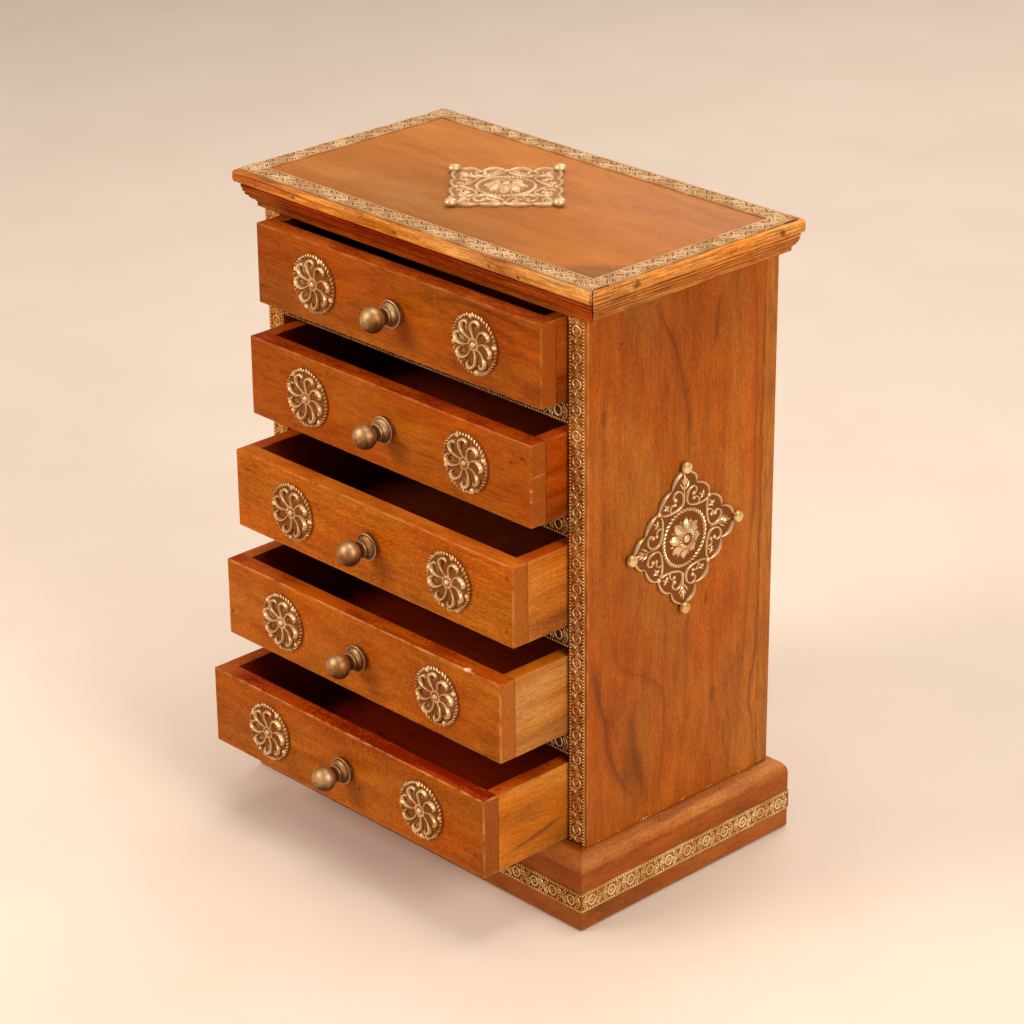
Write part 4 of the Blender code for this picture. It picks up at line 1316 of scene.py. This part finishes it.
def ornamentShape():
    s = ornamentSet
    shape = newShape()
    steps = 20
    rims = []
    for quarter in range(4):
        turn = Matrix.Rotation(quarter * math.pi / 2, 2)
        for k in range(steps):
            rims.append(turn @ outlineAt(k / steps))
    rings = []
    reliefs = []
    for share, height, relief in ((1.0, 0.05, 0.15), (1.0, 0.75, 0.3), (0.985, s["plate"], 0.3),
                                  (0.95, s["plate"], 0.08), (0.6, s["plate"], 0.08), (0.3, s["plate"], 0.08),
                                  (0.05, s["plate"], 0.05)):
        rings.append([(p.x * share, p.y * share, height) for p in rims])
        reliefs.append([relief] * len(rims))
    loft(shape, rings, reliefs)

    wheel(shape, ornamentCorner(), 4, 0.0, 0.0, ornamentBrass)

    # rope ring on a low round bead
    lathe(shape, ropeBand, 48)
    rope = ropeBead(*s["ropeSize"], math.radians(s["ropeSlant"]), s["ropeLift"])
    wheel(shape, rope, s["ropeCount"], s["rope"], 0.0, ornamentBrass)

    # flower: domed heart, petals with small tips between them, ribbed collar, button
    lathe(shape, flowerHeart, 36)
    petal = newShape()
    rings = []
    reliefs = []
    for t, width in petalWidths:
        out = s["petalRoot"] + (s["petalReach"] - s["petalRoot"]) * t
        high = s["petalHigh"] - s["petalFall"] * t ** 1.4
        rings.append([(out, width * share, high + rise) for share, rise, _ in petalSection])
        reliefs.append([relief for _, _, relief in petalSection])
    loft(petal, rings, reliefs)
    tip = newShape()
    leaf(tip, *flowerTip)
    stamen = newShape()
    leaf(stamen, *flowerStamen)
    first, half = s["petalTurn"], math.pi / s["petals"]
    for part, count, turn in ((petal, s["petals"], first), (tip, s["petals"], first + half),
                              (stamen, s["collar"], 0.0)):
        wheel(shape, part, count, 0.0, turn, ornamentBrass)
    dome(shape, 0.0, 0.0, *s["button"], segments=16, rows=4, dark=0.4)
    return shape


def buildOrnaments():
    shape = ornamentShape()
    nails = nailShape()
    seat = ornamentSet["seat"]
    low, high = nodeBox("ornament_right")
    _, midY, midZ = midway(low, high)
    face = low[0] - seat
    topLow, topHigh = nodeBox("ornament_top")
    topX, topY, _ = midway(topLow, topHigh)
    under = topLow[2] - seat
    places = {
        "right": lambda x, y, z: (face + z, midY + x, midZ + y),
        "left": lambda x, y, z: (-face - z, midY - x, midZ + y),
        "top": lambda x, y, z: (topX + x, topY + y, under + z),
    }
    for side, place in places.items():
        flat = side == "top"
        for name, source, brass in (("Plate", shape, topOrnamentLightShadeBrass if flat else ornamentBrass),
                                    ("Nails", nails, topNailBrass if flat else nailBrass)):
            piece = newShape()
            pour(source, piece, place)
            newPiece("ornament%s_%s" % (name, side), piece, brass, "case", "ornament_brass",
                     ["ornament_" + side])
    shape.free()
    nails.free()


# drawers


drawerSet = {
    "frontSoft": 0.7, "sideSoft": 0.5, "insideSoft": 0.3, "footLow": 36.0, "pitch": 52.2, "seat": 0.25,
}
frontLooks = [
    {"pith": (-58.0, 262.0), "ringGap": 5.0, "wander": 30.0, "seed": 2.0, "figure": 0.20, "pore": 0.30,
     "broad": 0.48, "edgeWear": 0.22, "body": (0.300, 0.060, 0.0020),
     "upperTones": ((0.76, 0.42, 0.9), (1.25, 1.25, 3.6)),
     "endTones": ((0.85, 0.85, 2.2), (1.05, 1.15, 4.0)),
     "lines": [([(-10.0, 268.0), (10.0, 274.0), (34.0, 271.0), (60.0, 262.0), (84.0, 250.0)], 1.0, 0.34),
               ([(30.0, 279.0), (52.0, 270.0), (78.0, 255.0)], 0.9, 0.34),
               ([(40.0, 282.0), (60.0, 275.0), (88.0, 262.0)], 0.8, 0.26)],
     "spots": [((-88.0, -72.1, 253.0), (1.6, 3.0, 1.2), 0.60), ((86.0, -72.1, 250.0), (9.0, 3.0, 7.0), 0.25),
               ((-84.0, -72.1, 262.0), (42.0, 9.0, 40.0), 0.26),
               ((18.0, -72.1, 267.0), (28.0, 9.0, 18.0), 0.8, (1.30, 1.42, 0.6), 0.1)]},
    {"pith": (20.0, 260.0), "ringGap": 7.5, "wander": 20.0, "seed": 15.0, "body": (0.340, 0.069, 0.0018),
     "pore": 0.32, "edgeWear": 0.30, "upperTones": ((0.58, 0.15, 0.3), (1.05, 0.65, 0.6)),
     "lines": [([(-20.0, 203.0), (20.0, 207.0), (56.0, 203.0), (86.0, 199.0)], 1.2, 0.50),
               ([(40.0, 209.0), (64.0, 206.0), (88.0, 204.0)], 0.9, 0.45)],
     "spots": [((78.7, -78.3, 219.2), (0.9, 3.0, 0.9), 0.70), ((85.4, -78.3, 222.6), (2.6, 3.0, 1.0), 0.60),
               ((-38.0, -78.3, 226.5), (0.8, 3.0, 1.2), 0.62), ((-88.0, -78.3, 222.5), (1.0, 3.0, 0.9), 0.62),
               ((90.8, -73.4, 215.1), (3.0, 5.4, 0.35), 0.8, (1.7, 3.0, 45.0), 0.3),
               ((90.6, -78.2, 209.2), (0.9, 0.9, 0.8), 0.8, (1.7, 3.0, 45.0), 0.4),
               ((90.6, -78.2, 204.4), (0.8, 0.9, 0.6), 0.8, (1.7, 3.0, 45.0), 0.4)]},
    {"pith": (-30.0, 120.0), "ringGap": 9.0, "wander": 26.0, "seed": 27.0, "body": (0.405, 0.093, 0.0028),
     "edgeWear": 0.45, "pore": 0.36, "poreFrom": 0.51, "speckle": 0.44,
     "upperTones": ((1.0, 0.84, 1.7), (1.3, 1.40, 3.8)),
     "spots": [((87.0, -89.3, 172.0), (1.0, 3.0, 1.0), 0.62), ((86.5, -89.3, 146.4), (1.1, 3.0, 0.9), 0.68),
               ((7.5, -89.3, 143.5), (1.0, 3.0, 0.9), 0.62), ((-83.0, -89.3, 170.0), (6.0, 3.0, 0.8), 0.5),
               ((-80.0, -89.3, 164.0), (20.0, 9.0, 22.0), 0.8, (0.84, 0.72, 0.55), 0.1),
               ((78.0, -89.3, 159.0), (20.0, 9.0, 20.0), 0.8, (1.15, 1.30, 1.5), 0.1)]},
    {"pith": (10.0, 150.0), "ringGap": 6.5, "wander": 18.0, "seed": 36.0, "body": (0.380, 0.090, 0.0042),
     "chatter": 0.09, "pore": 0.22, "fibre": 0.18, "mottle": 0.32, "speckle": 0.30,
     "upperTones": ((0.65, 0.25, 0.15), (1.10, 0.75, 0.5)),
     "endTones": ((0.85, 0.95, 3.0), (1.12, 1.32, 4.6)),
     "lines": [([(-88.0, 96.0), (-80.0, 104.0), (-70.0, 121.0)], 0.9, 0.3)],
     "spots": [((-88.0, -97.4, 99.6), (1.1, 3.0, 1.1), 0.68), ((84.0, -97.4, 96.0), (9.0, 3.0, 12.0), 0.22),
               ((70.0, -96.6, 125.3), (2.4, 1.8, 0.9), 0.85, (2.2, 6.5, 110.0), 0.5)]},
    {"pith": (-20.0, -20.0), "ringGap": 8.0, "wander": 22.0, "seed": 49.0, "body": (0.330, 0.071, 0.0028),
     "mottle": 0.34, "speckle": 0.46, "pore": 0.14, "fibre": 0.12, "chatter": 0.05,
     "upperTones": ((0.55, 0.075, 0.1), (1.05, 0.55, 0.3)),
     "spots": [((9.8, -107.9, 48.1), (1.0, 3.0, 1.6), 0.65), ((85.0, -107.9, 44.5), (0.9, 3.0, 0.9), 0.70),
               ((79.3, -107.9, 45.1), (0.7, 3.0, 0.8), 0.60), ((14.5, -106.0, 73.2), (2.4, 2.0, 1.0), 0.60),
               ((88.0, -107.9, 40.0), (9.0, 3.0, 8.0), 0.30),
               ((-88.0, -103.0, 73.2), (14.9, 9.0, 2.2), 0.85, (1.10, 1.20, 3.6), 0.1)]},
]
frontBase = {"grain": "x", "gloss": 0.04, "edgeWear": 0.6, "edgeTone": (0.58, 0.26, 0.085)}
frontWoods = [woodFinish("frontWood_%d" % number, **{**frontBase, **look})
              for number, look in enumerate(frontLooks, 1)]

# the first drawer's sides are darker: painted shade under the moulding
sideTones = [(0.29, 0.060, 0.0050), (0.34, 0.055, 0.0020), (0.52, 0.158, 0.0175), (0.45, 0.168, 0.0310),
             (0.52, 0.162, 0.0145)]
# the top edges of the drawer sides: painted light and shade
sideUpperLightShades = [((0.6, 0.4, 0.4), (1.0, 0.8, 0.8)), ((1.0, 0.75, 1.4), (1.4, 1.30, 2.6)),
              ((0.80, 0.30, 0.07), (1.02, 0.45, 0.12)), ((1.02, 0.52, 0.08), (1.22, 0.75, 0.14)),
              ((0.62, 0.18, 0.05), (0.98, 0.48, 0.12))]
lowestSideLines = [
    ([(-97.0, 42.5), (-86.0, 43.2), (-76.0, 45.0), (-66.0, 46.8), (-57.0, 49.0)], 2.0, 0.95)]
drawerSideLook = {
    "grain": "y", "wander": 22.0, "figure": 0.25, "ringGap": 9.0, "pore": 0.20, "fibre": 0.28, "mottle": 0.22,
    "speckle": 0.28, "gloss": 0.05,
}
drawerSideWoods = []
for k, (tone, upper) in enumerate(zip(sideTones, sideUpperLightShades)):
    foot = drawerSet["footLow"] + drawerSet["pitch"] * (4 - k)
    drawerSideWoods.append(woodFinish(
        "drawerSideWood_%d" % (k + 1), pith=(40.0, 60.0 + 30 * k), seed=61.0 + 4 * k, body=tone,
        upperTones=upper, lines=lowestSideLines if k == 4 else [],
        # painted shadow low at the rear of each drawer side, where it goes into the case
        spots=[((90.8, -58.0, foot), (6.0, 26.0, 14.0), 0.42)], **drawerSideLook))

insideReds = (0.25, 0.25, 0.19, 0.30, 0.31)
insideWoods = [woodFinish("drawerInsideWood_%d" % (k + 1), grain="x", pith=(40.0, -60.0), seed=71.0 + k,
                          roughness=0.6, body=(red, 0.0240, 0.0024), gloss=0.05, edgeWear=0.05)
               for k, red in enumerate(insideReds)]


def buildDrawerWood():
    s = drawerSet
    rearward = (0, 1, 0)
    for name, front, sides, inside in zip(drawerNames, frontWoods, drawerSideWoods, insideWoods):
        low, high = nodeBox(name + "_front")
        newPiece(name + "_frontBoard", board(low, high, s["frontSoft"], 3, 0, rearward, True, rearward),
                 front, name, "drawer_front_wood", [name + "_front"])
        for side, inward in (("left", (1, 0, 0)), ("right", (-1, 0, 0))):
            node = "%s_side_%s" % (name, side)
            low, high = nodeBox(node)
            newPiece("%s_sideBoard_%s" % (name, side),
                     board(low, high, s["sideSoft"], 2, 1, inward, True, (0, -1, 0)), sides, name,
                     "drawer_side_wood", [node])
        for part in ("back", "bottom"):
            node = "%s_%s" % (name, part)
            low, high = nodeBox(node)
            newPiece(node + "Board", board(low, high, s["insideSoft"]), inside, name, "drawer_inside_wood",
                     [node])


rosetteSet = {
    "radius": 14.4, "field": 0.85, "hooks": 8, "hookTurn": 0.2, "hookWide": 0.46, "hookHigh": 1.75,
    "hatch": 32, "hatchTurn": 0.05, "ropeCount": 46, "ropeRadius": 13.0, "ropeSlant": 38.0, "ropeLift": 0.85,
    "ropeVary": 0.5, "ropeSize": (2.4, 0.42, 0.9), "collarCount": 14, "collarRadius": 2.65,
    "collarBead": (0.45, 0.6, 1.45), "scoopWire": (0.7, 0.3), "hatchWire": (0.22, 0.25), "hatchFrom": 4.6,
    "hatchStep": 1.1, "button": (1.3, 1.2, 1.5), "buttonTip": (0.55, 0.4, 2.6), "nail": (1.15, 1.25),
    "nailFrom": 1.2, "nailRadius": 12.3,
    "turns": [0.0, 0.5, 1.1, 2.3, 0.3, 1.7, 2.8, 0.8, 1.4, 2.0],
}
hookPath = [(2.9, 0.4), (4.5, 1.3), (6.5, 1.9), (8.5, 1.75), (10.1, 0.8), (10.9, -0.7), (10.7, -2.2),
            (9.7, -2.9), (8.6, -2.5)]
scoopPath = [(5.0, 0.2), (7.0, 0.0), (8.6, -0.7), (9.5, -1.5)]
rosetteBrass = brassFinish("rosetteBrass", recess=(0.200, 0.052, 0.005), bright=(0.84, 0.58, 0.31),
                           warm=(0.66, 0.40, 0.17), metalHigh=0.62, patchy=0.55, grit=0.35)


def rosetteShape():
    s = rosetteSet
    shape = newShape()
    r, f = s["radius"], s["field"]
    lathe(shape, [(r - 0.9, 0.05, 0.05), (r - 0.8, 0.45, 0.1), (r - 0.9, 0.85, 0.1), (r - 1.1, 1.0, 0.1),
                  (r - 1.5, 1.05, 0.15), (r - 2.0, 1.0, 0.15), (r - 2.5, f, 0.1), (9.0, f - 0.05, 0.08),
                  (5.5, f + 0.15, 0.08), (3.4, f + 0.4, 0.1), (2.9, 1.5, 0.3), (2.0, 1.6, 0.3),
                  (1.0, 1.6, 0.1)], 56)

    # a cane that thickens outward and curls over at its tip, with a scooped field inside the curl
    hook = newShape()
    rib(hook, smoothPath(hookPath, 3), s["hookWide"], s["hookHigh"], f - 0.2,
        lambda t: 0.62 + 0.80 * math.sin(math.pi * (t * 0.88)) ** 2, arc=5, dark=0.1)
    rib(hook, smoothPath(scoopPath, 2), *s["scoopWire"], f - 0.1,
        lambda t: 0.25 + 0.75 * math.sin(math.pi * t) ** 0.7, arc=4, dark=0.05, crest=0.25)
    wheel(shape, hook, s["hooks"], 0.0, s["hookTurn"], rosetteBrass)

    # faint hatching struck into the field, the rope and the beaded collar
    hatch = newShape()
    path = [Vector((s["hatchFrom"] + k * s["hatchStep"], 0.0)) for k in range(7)]
    rib(hatch, path, *s["hatchWire"], f - 0.05, lambda t: 0.4 + 0.6 * t, arc=3, dark=0.05, crest=0.42)
    wheel(shape, hatch, s["hatch"], 0.0, s["hatchTurn"], rosetteBrass)
    rope = ropeBead(*s["ropeSize"], math.radians(s["ropeSlant"]), s["ropeLift"])
    wheel(shape, rope, s["ropeCount"], s["ropeRadius"], 0.0, rosetteBrass, s["ropeVary"])
    bead = newShape()
    dome(bead, 0.0, 0.0, *s["collarBead"], segments=7, rows=2)
    wheel(shape, bead, s["collarCount"], s["collarRadius"], 0.0, rosetteBrass)
    dome(shape, 0.0, 0.0, *s["button"], segments=14, rows=4, dark=0.4)
    dome(shape, 0.0, 0.0, *s["buttonTip"], segments=8, rows=2)
    for k in range(4):  # nail heads in the rope
        spot = Matrix.Rotation(s["nailFrom"] + k * math.pi / 2, 2) @ Vector((s["nailRadius"], 0.0))
        dome(shape, spot.x, spot.y, *s["nail"], f - 0.05, segments=12, rows=4, dark=0.3)
    return shape


knobProfile = [  # radius, height, how worn
    (5.7, 0.0, 0.1), (6.05, 0.25, 0.2), (6.1, 0.95, 0.2), (5.9, 1.3, 0.05), (5.75, 1.5, 0.0),
    (5.95, 1.65, 0.3), (6.25, 1.75, 1.0), (6.36, 1.95, 1.4), (6.32, 2.25, 1.4), (6.12, 2.38, 1.0),
    (5.8, 2.32, 0.2), (5.3, 2.45, 0.35), (4.8, 2.75, 0.5), (4.35, 3.2, 0.75), (4.0, 3.75, 0.7),
    (3.75, 4.35, 0.4), (3.6, 4.9, 0.15), (3.55, 5.15, 0.0), (3.85, 5.3, 0.6), (4.0, 5.6, 1.0),
    (3.85, 5.95, 0.6), (3.4, 6.15, 0.1), (3.2, 6.6, 0.0), (3.3, 7.2, 0.0),
]
knobSet = {
    "ball": 5.85, "flat": 0.86, "reach": 12.2, "rows": 14, "segments": 40, "polish": 0.80, "tipTurn": 0.16,
    "polishFrom": 0.3, "polishRows": 6, "tipPolish": 0.5,
    "tip": [(0.75, 0.22), (0.3, 0.2)],     # radius, rise
    "shadeAbove": 2.4, "shade": 0.80, "shadeRise": 0.15, "shadeSide": -0.05, "shadeRange": (0.05, 1.1),
}
knobBrass = brassFinish("knobBrass", bright=(0.58, 0.365, 0.190), warm=(0.40, 0.190, 0.058),
                        recess=(0.075, 0.018, 0.001), low=0.0, high=1.0, metalLow=0.6, metalHigh=0.92,
                        roughHigh=0.50, roughLow=0.58, grit=0.35, patchy=0.45, turned=0.75, bump=0.35)


def knobShape():
    s = knobSet
    profile = list(knobProfile)
    ball = s["ball"]
    start = math.asin(profile[-1][0] / ball)
    for k in range(1, s["rows"] + 1):
        turn = start + (math.pi - s["tipTurn"] - start) * k / s["rows"]
        height = s["reach"] - ball * s["flat"] * math.cos(turn)
        polish = s["polish"] * min(1.0, s["polishFrom"] + k / s["polishRows"])
        profile.append((ball * math.sin(turn), height, polish))
    for radius, rise in s["tip"]:
        profile.append((radius, profile[-1][1] + rise, s["tipPolish"]))
    shape = newShape()
    lathe(shape, profile, s["segments"])
    # painted shade and a painted dark reflection: the underside and the right of the knob are darkened
    relief = shape.verts.layers.float["relief"]
    least, most = s["shadeRange"]
    for vert in shape.verts:
        if vert.co.z > s["shadeAbove"]:
            shade = s["shade"] + s["shadeRise"] * vert.co.y + s["shadeSide"] * vert.co.x
            vert[relief] *= min(most, max(least, shade))
    return shape


def buildDrawerBrass():
    rosette = rosetteShape()
    knob = knobShape()
    turns = iter(rosetteSet["turns"])
    for name in drawerNames:
        for part, source, brass, slot in (
                ("knob", knob, knobBrass, "knob_brass"),
                ("rosette_left", rosette, rosetteBrass, "rosette_brass"),
                ("rosette_right", rosette, rosetteBrass, "rosette_brass")):
            node = "%s_%s" % (name, part)
            low, high = nodeBox(node)
            x, _, z = midway(low, high)
            face = high[1] + drawerSet["seat"]
            turn = Matrix.Rotation(next(turns) if source is rosette else 0.0, 2)

            def place(px, py, pz):
                spot = turn @ Vector((px, py))
                return (x + spot.x, face - pz, z + spot.y)

            piece = newShape()
            pour(source, piece, place)
            newPiece(node + "Brass", piece, brass, name, slot, [node])
    rosette.free()
    knob.free()


buildCamera()
buildStage()
print("camera, light and floor ready")
buildCase()
print("case boards ready")
buildTop()
print("top and moulding ready")
buildStrips()
print("brass strips ready")
buildOrnaments()
print("ornaments ready")
buildDrawerWood()
buildDrawerBrass()
print("drawers ready")
